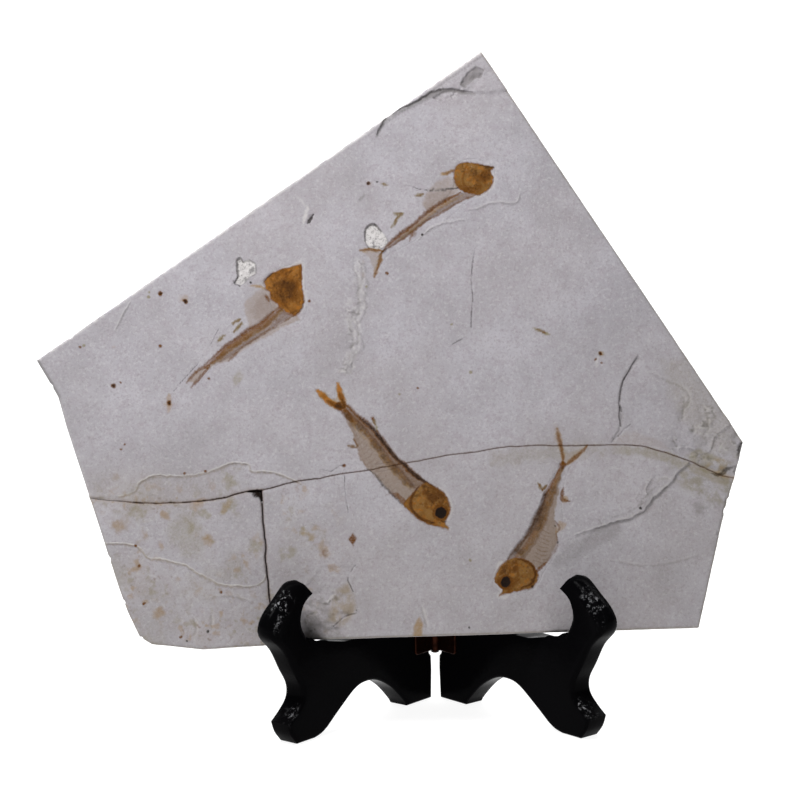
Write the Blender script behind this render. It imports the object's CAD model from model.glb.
"""The looks of the fossil fish slab and of the folding stand that it leans in.

Lengths are millimetres.  A place on the slab is given in the slab's own plane: across from the
hinge line, up from the bottom edge, and out from the face.  A place on a wing is given as the
distance from the hinge line, the height, and the depth into the board.
"""

import functools
import math

import bmesh
import bpy
import numpy as np
from mathutils import Matrix, Vector
from mathutils.geometry import delaunay_2d_cdt

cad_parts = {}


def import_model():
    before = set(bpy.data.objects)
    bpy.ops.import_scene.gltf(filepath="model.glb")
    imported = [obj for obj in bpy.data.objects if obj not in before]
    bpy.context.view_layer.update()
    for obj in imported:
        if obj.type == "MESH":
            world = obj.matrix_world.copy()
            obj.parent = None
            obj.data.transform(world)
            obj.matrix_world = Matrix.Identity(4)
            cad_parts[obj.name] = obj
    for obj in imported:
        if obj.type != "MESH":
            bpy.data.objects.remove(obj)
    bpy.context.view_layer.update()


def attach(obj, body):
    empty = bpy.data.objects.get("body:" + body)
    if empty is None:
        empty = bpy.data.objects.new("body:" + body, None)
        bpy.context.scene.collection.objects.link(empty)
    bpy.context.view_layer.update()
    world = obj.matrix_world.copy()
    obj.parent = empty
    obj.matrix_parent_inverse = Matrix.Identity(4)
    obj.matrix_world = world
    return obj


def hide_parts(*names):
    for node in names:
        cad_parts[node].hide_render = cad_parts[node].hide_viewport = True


TO_METRES = 0.001
LEFT_BODY = "left_wing_and_slab"
RIGHT_BODY = "right_wing"

# The hinge line's place, the slab's place and its thickness, as in the solid model
HINGE_X = 17.49
HINGE_Y = 24.82
SLAB_LEAN = math.radians(15.6)
SLAB_FRONT_Y = -50.0
SLAB_FRONT_Z = 39.2
SLAB_THICKNESS = 8.0

# The slab's outer edges and its two breaks
TOP_EDGES = [(124.5, 63.5), (128.8, 78.3), (28.7, 240.4), (24.2, 247.4), (-164.4, 118.1), (-155.3, 102.5),
             (-152, 90.5), (-142, 60)]
BOTTOM_LEFT_EDGES = [(-142, 60), (-130, 22.5), (-126.5, 13), (-121.5, 2.5), (-116.5, -0.5),
                     (-96, -3), (-67.5, -1.8)]
BOTTOM_RIGHT_EDGES = [(-67.5, -1.8), (-60, 0), (107.5, 2), (120.5, 51.5), (124.5, 63.5)]
CROSS_BREAK = [(-142, 60), (-128.5, 58.5), (-115, 57.5), (-101.5, 57.5), (-90, 58.5),
               (-77, 61.5), (-71, 62), (-59.5, 64.5), (-41.5, 67.5), (-27, 69.5), (-13.5, 71.5),
               (2.5, 74.5), (18.5, 76.5), (34.5, 78.3), (50, 78.2), (76.5, 78), (88, 77),
               (97, 74), (107.5, 70), (118, 65), (124.5, 63.5)]
JUNCTION = 6
DOWN_BREAK = [(-71, 62), (-70.8, 59), (-70.5, 53), (-69.5, 40), (-69.5, 32), (-68, 18.5),
              (-67.5, -1.8)]
LOST_CORNER = [(-71.4, 57.6), (-73.5, 60.2), (-77, 61.2)]
# How far each piece is drawn back from the breaks
DRAWN_BACK = {"slab_upper": 0.04, "slab_lower_left": 0.08, "slab_lower_right": 0.06}
DOWN_BREAK_GAP = 0.4
STUMP_LENGTH = 3.4      # how far stone reaches into the lost corner, below the face

# Terraces of the split face: outline, height against the face, and width of the step
TERRACES = [
    ([(-21, 212), (-16, 220), (-8, 224), (-2, 227), (2, 229.5), (6, 230.8), (12, 231), (16, 230),
      (20, 229.5), (27, 229), (40, 231), (30, 262), (-40, 235)], 0.75, 0.6),
    ([(106, 70), (101, 66), (98, 62), (94, 58.5), (90, 55), (87, 51), (84, 49), (80, 47.3), (75, 46.3),
      (66, 43.5), (58, 33), (46, 24), (52, -12), (118, -12), (140, 62)], -0.75, 1.8),
    ([(99, 77), (107, 77), (113, 83), (110, 92), (117, 99), (130, 100), (140, 70), (126, 60),
      (118, 64), (107, 69.5)], -0.22, 0.8),
    ([(109, 73), (113, 73.5), (116, 77.5), (117, 81), (122, 84), (126, 90), (140, 80), (130, 58),
      (117, 64)], -0.3, 1.2),
    ([(-150, 60), (-130, 60.5), (-123.5, 62.5), (-122, 65.5), (-120, 67), (-115, 69), (-105, 68.5),
      (-97, 69), (-90, 71), (-85, 73), (-80, 73.5), (-76, 72.5), (-75, 70), (-66, 69.5), (-60, 67),
      (-55, 64.5), (-71, 61), (-90, 57.5), (-115, 56.5)], -0.35, 0.5),
    ([(-145, 42), (-136, 41.5), (-123, 40), (-118, 35), (-113, 34.5), (-107, 33), (-102, 31.5),
      (-97, 28), (-92, 25.5), (-88, 23.5), (-80, 22.8), (-75, 22.5), (-71, 24.5), (-69.5, 27),
      (-66, -8), (-150, -8)], -0.22, 0.6),
    ([(-33, 30), (-36, 25), (-33.8, 19.6), (-32.9, 11), (-40.5, 7), (-52, 3), (-60, 14), (-46, 30)],
     -0.3, 0.5),
    ([(121, 55), (119.5, 48), (116, 40), (126, 36), (130, 58)], -0.7, 1.0),
]
# The terrace whose step runs out to the left, where it ends, and over what length
LONG_LEDGE = 1
LEDGE_END = 50.0
LEDGE_FADE = 30.0
# Chips knocked out of the face: outline, depth, and width of the rim
CHIPS = [
    ([(-26.5, 168), (-26, 171.5), (-24, 173.3), (-21.5, 172.3), (-19.5, 170), (-18, 168),
      (-17, 165.5), (-18.5, 163.5), (-20, 162.5), (-25, 163), (-26.3, 166)], -0.6, 0.5),
    ([(-81.5, 149), (-80, 152), (-80.5, 158.5), (-79, 160), (-78, 158), (-75, 159), (-72.5, 157),
      (-72.5, 153), (-75, 151.5), (-77, 149.5), (-79, 147.8)], -0.6, 0.5),
    ([(15, 233), (18, 238), (22, 240.5), (25, 239), (24, 236), (20, 234.5), (17, 231.5)], -0.6, 0.7),
    ([(-51.5, 173.5), (-49.5, 177.8), (-47.5, 178), (-49, 174.5)], -0.35, 0.4),
    ([(3, 227.5), (8, 230.2), (13, 230.2), (12, 227.5), (7, 226)], -0.35, 0.6),
]
# Low welts and grooves: line, height, and half width
WELTS = [
    ([(-4, 166.5), (-2.5, 168), (0.5, 170.5), (3, 172), (6, 173), (10, 173.3), (15, 174.3)], 0.16, 0.5),
    ([(17, 178.7), (21, 179.3), (25, 180.8), (30, 181.6), (35, 181), (38, 182), (39, 185)], 0.16, 0.5),
    ([(86.5, 114.5), (80, 105), (78, 96.5), (78.5, 87), (74.5, 79.5)], -0.4, 0.9),
    ([(-131, 131), (-128.5, 136), (-125, 142)], 0.3, 0.5),
]
# Thin lips along the edges of flakes
LIPS = [
    TERRACES[1][0][:10] + [(58, 41)],
    TERRACES[4][0][1:16],
    TERRACES[5][0][1:14],
    [(90, 64), (88, 60), (88, 57)],
    [(102, 75.8), (104.6, 76.2), (107.7, 75.3), (109.8, 73.5), (112.5, 73.6), (115, 75.1), (116, 78),
     (116.5, 80.2), (118, 81.5), (120, 83), (122.3, 84.8)],
]
# Fine open cracks: line and width
HAIRLINES = [
    ([(19.5, 161), (18.5, 156), (17.8, 150), (18, 140), (17.3, 133), (17, 128.5)], 0.3),
    ([(14, 124), (9, 121.5)], 0.25),
    ([(86.5, 115.5), (83, 110), (79.5, 104), (78.2, 98), (78, 94), (77.5, 90), (78, 86)], 0.35),
    ([(82, 86.5), (74, 79)], 0.35),
    ([(-45.5, 70), (-42, 69.3), (-38.5, 71.3), (-36.7, 71.5)], 0.25),
    ([(-36.7, 70), (-36.5, 63), (-36, 57), (-35.3, 52)], 0.2),
    ([(-32.6, 30.3), (-35.9, 25), (-35, 22), (-33.8, 19.6)], 0.25),
    ([(-32.6, 12), (-32.9, 10.7), (-37.2, 9.6), (-40.5, 7), (-42, 5.6)], 0.35),
    ([(-10, 189.5), (-6, 189), (-4, 188), (-1, 187.5)], 0.2),
    ([(-107, 104), (-101, 111), (-95, 118), (-88, 130)], 0.15),
]

# A streak of loose whitish flakes
PALE_STREAK = [(-31, 157), (-27.5, 157), (-28.5, 147), (-27.5, 138), (-30, 130), (-29.5, 121), (-34, 110),
               (-39, 109), (-35.5, 118), (-34, 128), (-35.5, 136), (-33, 146)]
SWELL = 0.3
SWELL_LENGTH = 55.0
GRAIN = 0.11           # height of the fine roughness of the face
FLAKINESS = 0.06       # height of the small plateaus that the face splits into
CHIP_ROUGHNESS = 0.3
CRACK_DEPTH = 0.25
BACK_ROUGHNESS = 0.7
BACK_GRAIN = 28.0
# Where the face is rugged and splintered: outline, and how rough
RUGGED = [
    ([(98, 76), (104, 96), (122, 92), (130, 78), (126, 62), (118, 66), (108, 70)], 0.55),
    ([(64, 44), (84, 49), (93, 58), (99, 64), (92, 66), (86, 60), (80, 52), (66, 47)], 0.3),
    ([(-56, 1), (-54, 18), (-46, 22), (-36, 18), (-33.5, 11), (-38, 1)], 0.6),
    ([(0, 226), (6, 231.5), (24, 240), (30, 239), (20, 229), (8, 226)], 0.45),
    (PALE_STREAK, 0.5),
    ([(-127, 61), (-118, 68), (-96, 69), (-82, 73), (-75, 70), (-60, 67), (-80, 62), (-110, 59)],
     0.12),
]
FLAKE_CENTRE = (7.5, 134)
FLAKE_SIZE = (15, 27)
FLAKE_DEPTH = 3.6
EDGE_BITE = 0.15       # how deep the slab's straight outer edges are nibbled
NOTCH_BITE = 0.4       # the same where pieces of the edge have come away
FISH_BED = 0.5         # how far the slab's face lies below a fish

# How finely the stone is divided; twice as fine along lines and spots
OUTLINE_STEP = 0.6
SLAB_SPACING = {"slab_upper": 0.78, "slab_lower_left": 0.6, "slab_lower_right": 0.6}
FISH_SPACING = 0.27
BACK_SPACING = 2.4
# How deep the bedding layers lie in the slab's broken sides, from 0 to 1
WALL_LAYERS = [0.12, 0.2, 0.34, 0.5, 0.66, 0.8, 0.92]

# Where small pieces have come off the outer edge: place and reach
NOTCHES = [(-150, 128, 1.5), (-158, 107, 1.2), (-70, -1.5, 1.5), (-121, 2, 1),
           (119.5, 50, 1.6), (121, 54.5, 1), (-128, 17, 0.8), (-134, 35, 1)]

# The loose spots: tint, how strong, and the place and diameter of each
SPOTS = [
    ("rust", 0.95, [
        (-112.5, 145.3, 1.8), (-112.5, 123, 1.1), (-132, 106.7, 1.5), (-129, 108, 0.6),
        (-109, 99, 1.5), (-146, 123.3, 0.8), (-129, 80, 0.6), (-127.5, 82, 0.6), (-102.5, 69.5, 0.8),
        (-94, 70.2, 0.8), (-5.5, 103.3, 0.6), (-92.5, 109, 0.8), (-17.5, 152, 1.1), (70.5, 116.5, 1.3),
        (68.5, 114, 0.6), (71, 112.5, 0.5), (-50.3, 141, 1.0), (-36.7, 71.5, 1.2),
        (-119.5, 16.3, 0.9), (-121.5, 31.5, 0.8), (-123, 40, 0.8), (-104.5, 2.5, 0.8),
        (-88, 20.5, 0.7), (-102, 141.8, 1.9), (-24.8, 190.8, 1.3),
    ]),
    ("dark", 0.9, [
        (-24.8, 190.8, 0.8), (-21, 191.3, 0.5), (-102, 141.8, 1.1), (-74.5, 149.2, 0.6),
        (-93.5, 4.5, 0.8), (-102, 0.5, 0.5), (13.5, 4, 0.5), (85, 51.5, 0.7), (-132, 106.7, 0.8),
        (-2.5, 168.3, 0.9), (-112.5, 145.3, 0.7), (-109, 99, 0.6), (70.5, 116.5, 0.6),
    ]),
    ("olive", 0.8, [(-117.5, 144, 1.1), (-117, 146, 0.6), (-144.5, 124, 0.9), (-26, 146.5, 0.7),
                    (14.5, 31.5, 0.7), (9, 130, 0.7), (-13.5, 101, 0.6), (16.5, 109.7, 1.0)]),
]
STAINS = [
    ("film", 0.75, [(-128, 48, 9), (-120, 45, 7), (-113, 12, 5), (-47.5, 46, 5),
                    (-132, 123, 1.8), (-131, 69, 3), (-24.8, 190.8, 2.6), (-28, 158, 2.2),
                    (-28, 153, 2), (-109.5, 52, 4), (-92, 41, 5), (-45, 101, 4)]),
    ("olive", 0.6, [(-100, 48, 6), (-75, 38, 5), (-122, 52, 6), (-60, 36, 5), (-80.5, 108.5, 5),
                    (-83, 55.5, 7), (-84, 67.5, 8), (-51.5, 43, 4.5), (-95, 53.5, 3.5),
                    (-92, 41, 3), (70.5, 117.5, 3)]),
    ("ochre", 0.5, [(-105.9, 25.5, 3), (-110.3, 52.2, 3), (-45.7, 36.6, 5), (-114, 12, 5),
                     (-129.8, 48, 4), (-119.2, 45.6, 4), (-93.4, 41.3, 5), (-84.2, 55.5, 4),
                     (-111.6, 39.4, 3), (-47.9, 45.7, 3), (-51, 42.8, 4), (-72.9, 42.4, 4),
                     (-81.4, 29.7, 4), (-42.1, 29, 4), (-97.9, 55.8, 5), (-53, 62.6, 3),
                     (-45, 101, 2.6), (70.5, 117.5, 2.2), (-102, 141.8, 2.6), (-109, 99, 2.8),
                     (-119.5, 16.3, 1.6), (-88, 20.5, 1.4)]),
    ("rust", 0.5, [(-45, 101, 1.8), (-45, 35.5, 1.8)]),
    ("shade", 0.6, [(109.5, 51, 6), (20, 236, 5)]),
]

# The fish: outline as smooth runs between corners, spine, head, gill cover, eye and belly.
# A run ends at the corner where the next one starts.
FISH = {
    "fish_top": {
        "runs": [
            [(28.6, 196.6), (24, 199.4), (18.5, 200.5), (13.4, 198.8), (11.5, 194), (11.4, 189),
             (8, 183.8), (0, 176.8), (-9, 170.6), (-17, 165)],
            [(-28.5, 162.6)], [(-20, 160.8)],
            [(-22.3, 152.5), (-17, 159.8), (-9, 164), (1, 170), (9.5, 176), (17, 182.5), (24.5, 186),
             (28.2, 191)],
        ],
        "spine": [(15, 187), (8, 181.5), (0, 176), (-10, 168.8), (-19, 161.8)],
        "head": [(11.3, 195), (12, 197), (14, 198.5), (17.5, 199.2), (21, 198.5), (24.5, 197.5),
                 (28.3, 196.8), (26.5, 195.5), (27.8, 192.5), (27.6, 190), (26, 187.5),
                 (23.5, 185.7), (20.5, 184.8), (17, 186), (14, 187), (12.5, 189), (11.5, 192)],
        "gill": [(17.5, 198.6), (15.6, 195), (15, 191), (16.8, 187.4), (20.5, 185.5)],
        "eye": (24.3, 193, 1.9),
        "belly": [(20.5, 184.8), (15, 182.5), (5, 176.8), (-4, 171.5), (-10, 167), (-18, 162),
                  (-19.5, 161), (-14, 167), (-7, 172), (0, 178), (10, 184), (14, 186)],
    },
    "fish_left": {
        "runs": [
            [(-52.6, 156.9), (-58, 156.4), (-64.5, 154), (-68.8, 150.4), (-69.2, 145.6), (-66.4, 141),
             (-66, 136), (-72, 131.6), (-82, 124.6), (-90, 118.4)],
            [(-101.3, 107.8)], [(-94.6, 112.6)],
            [(-97.6, 105.4), (-91.4, 112.6), (-83, 118.2), (-73, 124.6), (-62, 130.6), (-54.6, 131.6),
             (-51.6, 137), (-51.8, 148)],
        ],
        "spine": [(-62, 138.5), (-66, 133.5), (-75, 127), (-85, 120.5), (-93, 114)],
        "head": [(-53.3, 156.5), (-57, 155.8), (-61, 154.8), (-65, 153), (-68, 151), (-69, 149.5),
                 (-68.5, 146), (-66.5, 145), (-66, 142), (-64, 140.5), (-60, 136), (-56, 135.2),
                 (-54, 136.5), (-52.5, 140), (-53, 145), (-53.2, 150)],
        "gill": [(-57, 155), (-61, 149), (-62, 144), (-60, 139), (-57.5, 136)],
        "eye": (-57.5, 148.5, 1.7),
        "belly": [(-62, 140), (-66, 135), (-75, 129), (-85, 122), (-93, 114.5), (-90, 115),
                  (-80, 120.5), (-70, 127), (-60, 133), (-56, 135)],
    },
    "fish_centre_tail": {
        "runs": [
            [(-46.6, 102.8), (-38.4, 94.4), (-32.4, 87), (-29.4, 78.6)], [(-25.6, 71.4)],
            [(-13.6, 73.2), (-19, 79.6), (-24.6, 85.8), (-31, 92), (-35.6, 96.6)], [(-39.6, 104.8)],
            [(-40.2, 99)],
        ],
        "spine": [(-16, 71.5), (-20, 76.5), (-28, 86), (-36, 94.5)],
        "belly": [(-36.5, 95.5), (-33, 88), (-30.5, 82), (-29, 74), (-27, 71), (-12, 71.5),
                  (-20, 80.5), (-30, 91.5)],
    },
    "fish_centre_head": {
        "runs": [
            [(-24.2, 68.4), (-21, 65.6), (-17.4, 61.6), (-12.8, 55.6), (-9, 51.2), (-4, 47.6),
             (1, 45.6)],
            [(6.2, 44.2)], [(4.8, 47.8), (6.3, 52), (4.6, 57.4), (0.4, 62), (-5, 66)], [(-11.2, 70.4)],
        ],
        "spine": [(-16, 71.5), (-13, 68), (-9, 63), (-6, 60.5)],
        "head": [(-12.5, 55), (-10, 52), (-7, 49), (-3, 47), (1, 46), (5.8, 44.3), (4.5, 47),
                 (5, 49), (6.3, 51), (6.8, 54), (5.5, 57.5), (3, 60.5), (0, 62.3), (-3, 64),
                 (-6, 62), (-9, 59)],
        "gill": [(-6, 62), (-8.5, 59), (-9.5, 55.5), (-9, 52.5), (-6, 49.5), (-3, 47.8), (0, 47.3)],
        "eye": (2.7, 51.2, 2.1),
        "belly": [(-25, 68.5), (-19, 61.5), (-13, 55), (-9, 57), (-6, 62), (-3, 64), (-11, 70.5)],
    },
    "fish_lower": {
        "runs": [
            [(25.8, 15.8), (32, 16.8), (38.5, 18.6), (42.6, 22), (44.4, 26), (48.4, 31.5), (51.4, 37.5),
             (53, 45), (52.8, 54), (54, 62), (56.4, 68.4)],
            [(62.8, 75.8)], [(55.4, 71.8)],
            [(53, 76), (52.2, 70), (48.8, 64.4), (45.4, 58.5), (41.4, 47.5), (35.4, 36.6), (29.8, 30),
             (25.2, 26), (23.4, 20.8)],
            [(26.4, 18.4)],
        ],
        "spine": [(35, 33), (38, 36), (43.5, 44.5), (47.5, 55), (51.5, 64), (53.8, 69.5)],
        "head": [(24.2, 24), (25.5, 27), (27.5, 29.5), (30, 31.3), (33, 32.3), (36, 31.5), (39, 30),
                 (41, 28), (42, 25), (41.5, 22.5), (40, 20.3), (38, 19.3), (33, 18.5), (29, 17.8),
                 (26, 16.8), (27, 18), (27.5, 19.5), (26, 21), (24.5, 22.5)],
        "gill": [(34, 31.5), (38, 30.3), (40.6, 27.4), (40.6, 24), (38.6, 21), (35, 19.6)],
        "eye": (28.7, 22.2, 1.8),
        "belly": [(33, 35.5), (39, 43), (44, 53), (51.5, 68), (54, 69), (51, 58), (49.5, 48),
                  (50, 42), (50.5, 38.5), (48, 33), (42.5, 27.5), (36, 31.5)],
    },
}

# A wing's profile, as runs that end where the next one starts, and how its board is made
WING_ANGLE = math.radians(40)
BOARD = 11.0
BOARD_OFFSET = 1.8
BOARD_ROUND = 2.2
HOOK_ROUND = 3.8
HOOK_CROWN = 2.0
HOOK_TIP = (75.0, 60.2)
HOOK_FROM = (72, 42)    # how far out and how high the hook starts
WORN_HOOK = (84, 99, 46, 70)
WORN_TOE = (82, 12)
BOARD_STEP = 1.1
# The seat in the hook: the left, right, low and high side of where its edge is crisp and of
# where it slopes, its height, and how far it rises to the slab, from which it keeps a gap
CRISP_SEAT = (42, 78, 31, 43)
RAISED_SEAT = (53, 78, 31, 45)
SEAT_HEIGHT = 36.6
SEAT_RISE = 3.2
SEAT_GAP = 0.2
SEAT_LIP = 0.8
WING_PROFILE = [
    [(0.3, 0)],
    [(16.5, 0), (18.6, 2.8), (26.4, 10.2), (35.2, 15.2), (43, 16.4), (50.2, 14.8), (58.8, 9.3)],
    [(67.7, 2.8), (71.5, 0.9)], [(75.5, 0)], [(86, 0), (89.4, 4.2)],
    [(91.2, 9), (86, 13), (82.4, 17.4), (82.6, 23), (86.4, 29.6), (91.3, 38.3), (96.9, 44.2),
     (98.3, 48.2), (96.9, 52), (93.6, 55.6), (88, 59.8), (82.6, 63.5), (78.6, 63.7)],
    [(75.0, 60.2), (79.5, 56.5), (81.2, 51), (80, 45.3), (77.8, 41), (75.2, 37.9), (71.5, 36.7),
     (61, 36.4), (52, 36.5), (45, 36.4), (41.4, 37.1), (38.2, 41.6), (34, 50.5), (29, 63), (24, 78),
     (19.6, 96), (16, 115), (13.2, 136), (10.8, 152), (9.2, 165), (7.8, 170), (4.6, 172), (1.6, 170.4)],
    [(0.8, 166)], [(0.8, 20.4)], [(-0.5, 18.8)],
]

# The hinge and its screws
HINGE_LOW = 21.5
HINGE_HIGH = 81.5
KNUCKLE_GAP = 0.3
LEAF_NEAR = 1.0
LEAF_FAR = 12.4
LEAF_FRONT = 0.5
LEAF_BACK = 1.5
LEAF_EDGE = 0.25
BARREL_RADIUS = 2.0
PIN_RADIUS = 1.2
PIN_HEAD_RADIUS = 1.8
SCREW_FROM_AXIS = 8.2
SCREW_HEIGHTS = {"lower": 31.5, "upper": 71.5}
SCREW_HEAD_RADIUS = 2.0
SCREW_FACE = 0.5
SCREW_HALF_SLOT = 0.22

# The tints that lie on the stone, in the order in which they cover each other
TINTS = {
    "pale": (0.600, 0.575, 0.570),
    "shade": (0.200, 0.190, 0.192),
    "film": (0.300, 0.248, 0.220),
    "flesh": (0.160, 0.100, 0.070),
    "olive": (0.215, 0.185, 0.100),
    "ochre": (0.280, 0.172, 0.060),
    "bone": (0.215, 0.108, 0.030),
    "amber": (0.330, 0.118, 0.016),
    "rust": (0.120, 0.043, 0.006),
    "dark": (0.012, 0.007, 0.005),
}
STONE_LIGHT = (0.435, 0.415, 0.450)
STONE_DARK = (0.355, 0.337, 0.362)

# The table, the wall behind it, the lights and the camera, in metres and watts
TABLE_FRONT = -1.2
TABLE_BACK = 0.6
TABLE_HALF_WIDTH = 3
TABLE_DROP = 0.0002     # how far the table lies below the feet
TABLE_GLOW = 0.92
WALL_CURVE = 0.5
WALL_HEIGHT = 3
ROOM_GLOW = 0.03
# Name, place, the place it points at, width and height, and power of each light
LIGHTS = [
    ("key", (-0.25, -0.27, 0.75), (0, 0, 0.14), (0.25, 0.25), 5.65),
    ("fill", (0.9, -1.2, 0.7), (0, 0, 0.13), (0.6, 0.6), 0.6),
    ("backdrop", (0, 0.9, 1.3), (0, 0.6, 0), (2.6, 1.0), 60),
]
CAMERA_PLACE = (0.00436, -0.86496, 0.24852)
CAMERA_DOWN = 7.53      # degrees below the horizon
CAMERA_ROLL = -1.09     # degrees
CAMERA_LENS = 94.76
SENSOR_WIDTH = 36


def lattice(across, up, seed):
    """A fixed random number from -1 to 1 for each whole-number place."""
    mixed = (across * 73856093) ^ (up * 19349663) ^ (seed * 83492791)
    mixed = (mixed ^ (mixed >> 13)) * 1274126177
    mixed = mixed ^ (mixed >> 16)
    return (mixed & 0xFFFF) / 32767.5 - 1


def fade(value):
    """From 0 to 1, with a soft start and a soft end."""
    value = np.clip(value, 0, 1)
    return value * value * (3 - 2 * value)


def waves(points, length, seed):
    """A smooth random field from -1 to 1 whose bumps are about this long."""
    turn = 0.7 + seed
    scaled = points @ np.array([[math.cos(turn), -math.sin(turn)],
                                [math.sin(turn), math.cos(turn)]]) / length
    cell = np.floor(scaled).astype(np.int64)
    along, over = fade(scaled - cell).T
    x, y = cell.T
    low = lattice(x, y, seed) * (1 - along) + lattice(x + 1, y, seed) * along
    high = lattice(x, y + 1, seed) * (1 - along) + lattice(x + 1, y + 1, seed) * along
    return low * (1 - over) + high * over


def rough(points, length, seed, octaves=3):
    """Waves with ever finer waves on them, from -1 to 1."""
    total = sum(waves(points, length / 2 ** k, seed + k) / 2 ** k for k in range(octaves))
    return total / (2 - 2 / 2 ** octaves)


def warped(points, amount, length, seed):
    """The points pushed about by a random field."""
    push = np.column_stack((rough(points, length, seed), rough(points, length, seed + 7)))
    return points + amount * push


def wobbled(points):
    """The points pushed about a little, so that drawn lines look natural."""
    return warped(points, 0.4, 1.6, 21)


def waver(line, amount=0.25, length=3.0, seed=5):
    """A line with a fine unsteadiness."""
    return warped(line, amount, length, seed)


def curve(points, step=1.0):
    """Points on a smooth curve through the given ones, about a step apart."""
    points = np.array(points, float)
    ends = np.vstack((points[:1], points, points[-1:]))
    found = []
    for p0, p1, p2, p3 in zip(ends, ends[1:], ends[2:], ends[3:]):
        pieces = max(1, round(float(np.linalg.norm(p2 - p1)) / step))
        f = np.arange(pieces)[:, None] / pieces
        found.append(0.5 * (2 * p1 + (p2 - p0) * f + (2 * p0 - 5 * p1 + 4 * p2 - p3) * f ** 2
                            + (3 * p1 - 3 * p2 + p3 - p0) * f ** 3))
    return np.vstack(found + [points[-1:]])


def closed_runs(runs, step):
    """The smooth runs of a closed outline, each with the corner that it ends at."""
    return [curve(run + after[:1], step) for run, after in zip(runs, runs[1:] + runs[:1])]


def straight(points, step=1.0):
    """Points on the straight lines through the given ones, about a step apart."""
    return np.vstack([curve(pair, step)[:-1] for pair in zip(points, points[1:])]
                     + [np.array(points[-1:], float)])


def near_line(points, line, reach):
    """Each point's distance to a line, up to a reach, and how far along the line it is."""
    distance = np.full(len(points), float(reach))
    along = np.zeros(len(points))
    box = (points > line.min(0) - reach) & (points < line.max(0) + reach)
    close = np.flatnonzero(box.all(1))
    close = close[np.argsort(points[close, 0])]
    x, y = points[close].T
    nearest = np.full(len(close), float(reach) ** 2)
    place = np.zeros(len(close))
    travelled = 0.0
    for (ax, ay), (bx, by) in zip(line, line[1:]):
        first, last = np.searchsorted(x, (min(ax, bx) - reach, max(ax, bx) + reach))
        length = math.hypot(bx - ax, by - ay) or 1e-9
        run_x, run_y = (bx - ax) / length, (by - ay) / length
        off_x, off_y = x[first:last] - ax, y[first:last] - ay
        here = np.clip(off_x * run_x + off_y * run_y, 0, length)
        away = (off_x - here * run_x) ** 2 + (off_y - here * run_y) ** 2
        nearer = first + np.flatnonzero(away < nearest[first:last])
        nearest[nearer] = away[nearer - first]
        place[nearer] = travelled + here[nearer - first]
        travelled += length
    distance[close] = np.sqrt(nearest)
    along[close] = place
    return distance, along


def off_line(points, line, reach):
    """Each point's distance to a line, up to a reach."""
    return near_line(points, line, reach)[0]


def off_place(points, x, y):
    """Each point's distance to one place."""
    return np.hypot(points[:, 0] - x, points[:, 1] - y)


def depth_inside(points, outline, reach):
    """How far inside a closed outline each point is, up to a reach; negative outside."""
    outline = np.array(outline, float)
    closed = np.vstack((outline, outline[:1]))
    box = (points > outline.min(0)) & (points < outline.max(0))
    rows = np.flatnonzero(box.all(1))
    x, y = points[rows].T
    inside = np.zeros(len(rows), bool)
    for a, b in zip(closed, closed[1:]):
        crossing = np.flatnonzero((a[1] > y) != (b[1] > y))
        at = a[0] + (b[0] - a[0]) * (y[crossing] - a[1]) / (b[1] - a[1] or 1)
        inside[crossing[x[crossing] < at]] ^= True
    sign = np.full(len(points), -1.0)
    sign[rows[inside]] = 1
    return sign * off_line(points, closed, reach)


def moved_in(outline, distance):
    """A closed outline drawn inwards, by one distance or by one for each point."""
    arriving = outline - np.roll(outline, 1, axis=0)
    leaving = np.roll(outline, -1, axis=0) - outline
    arriving /= np.linalg.norm(arriving, axis=1)[:, None]
    leaving /= np.linalg.norm(leaving, axis=1)[:, None]
    normal = np.column_stack((-arriving[:, 1], arriving[:, 0]))
    inwards = normal + np.column_stack((-leaving[:, 1], leaving[:, 0]))
    inwards /= np.maximum(np.linalg.norm(inwards, axis=1), 0.2)[:, None]
    stretch = 1 / np.maximum((inwards * normal).sum(1), 0.4)
    return outline + inwards * (np.broadcast_to(distance, len(outline)) * stretch)[:, None]


def fish_relief(points, fish):
    """A fish's own relief: a domed head, a low body, and a beaded spine with fine ribs."""
    height = 0.12 * fade(depth_inside(points, fish["belly"], 1.2) / 1.2)
    spine = curve(fish["spine"], 0.6)
    off, along = near_line(points, spine, 6)
    height += (0.26 + 0.05 * np.sin(along * 5.2)) * fade(1.15 - off / 1.3)
    ribs = np.sin(along * 6.5 + off * 4) * fade((off - 0.7) / 0.5) * fade((5 - off) / 2)
    height += 0.035 * ribs * fade(depth_inside(points, fish["belly"], 1) + 0.2)
    if "head" in fish:
        depth = depth_inside(points, fish["head"], 6)
        height += 0.5 * fade(depth / 5) + 0.07 * rough(points, 1.6, 61) * fade(depth / 1.5)
        off = off_line(points, curve(fish["gill"], 0.6), 2)
        height += 0.13 * fade(1 - off / 0.7)
        x, y, radius = fish["eye"]
        off = off_place(points, x, y)
        height += 0.14 * fade(1 - abs(off - radius) / 0.6) - 0.12 * fade(1.4 - off / radius)
    return height


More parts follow.
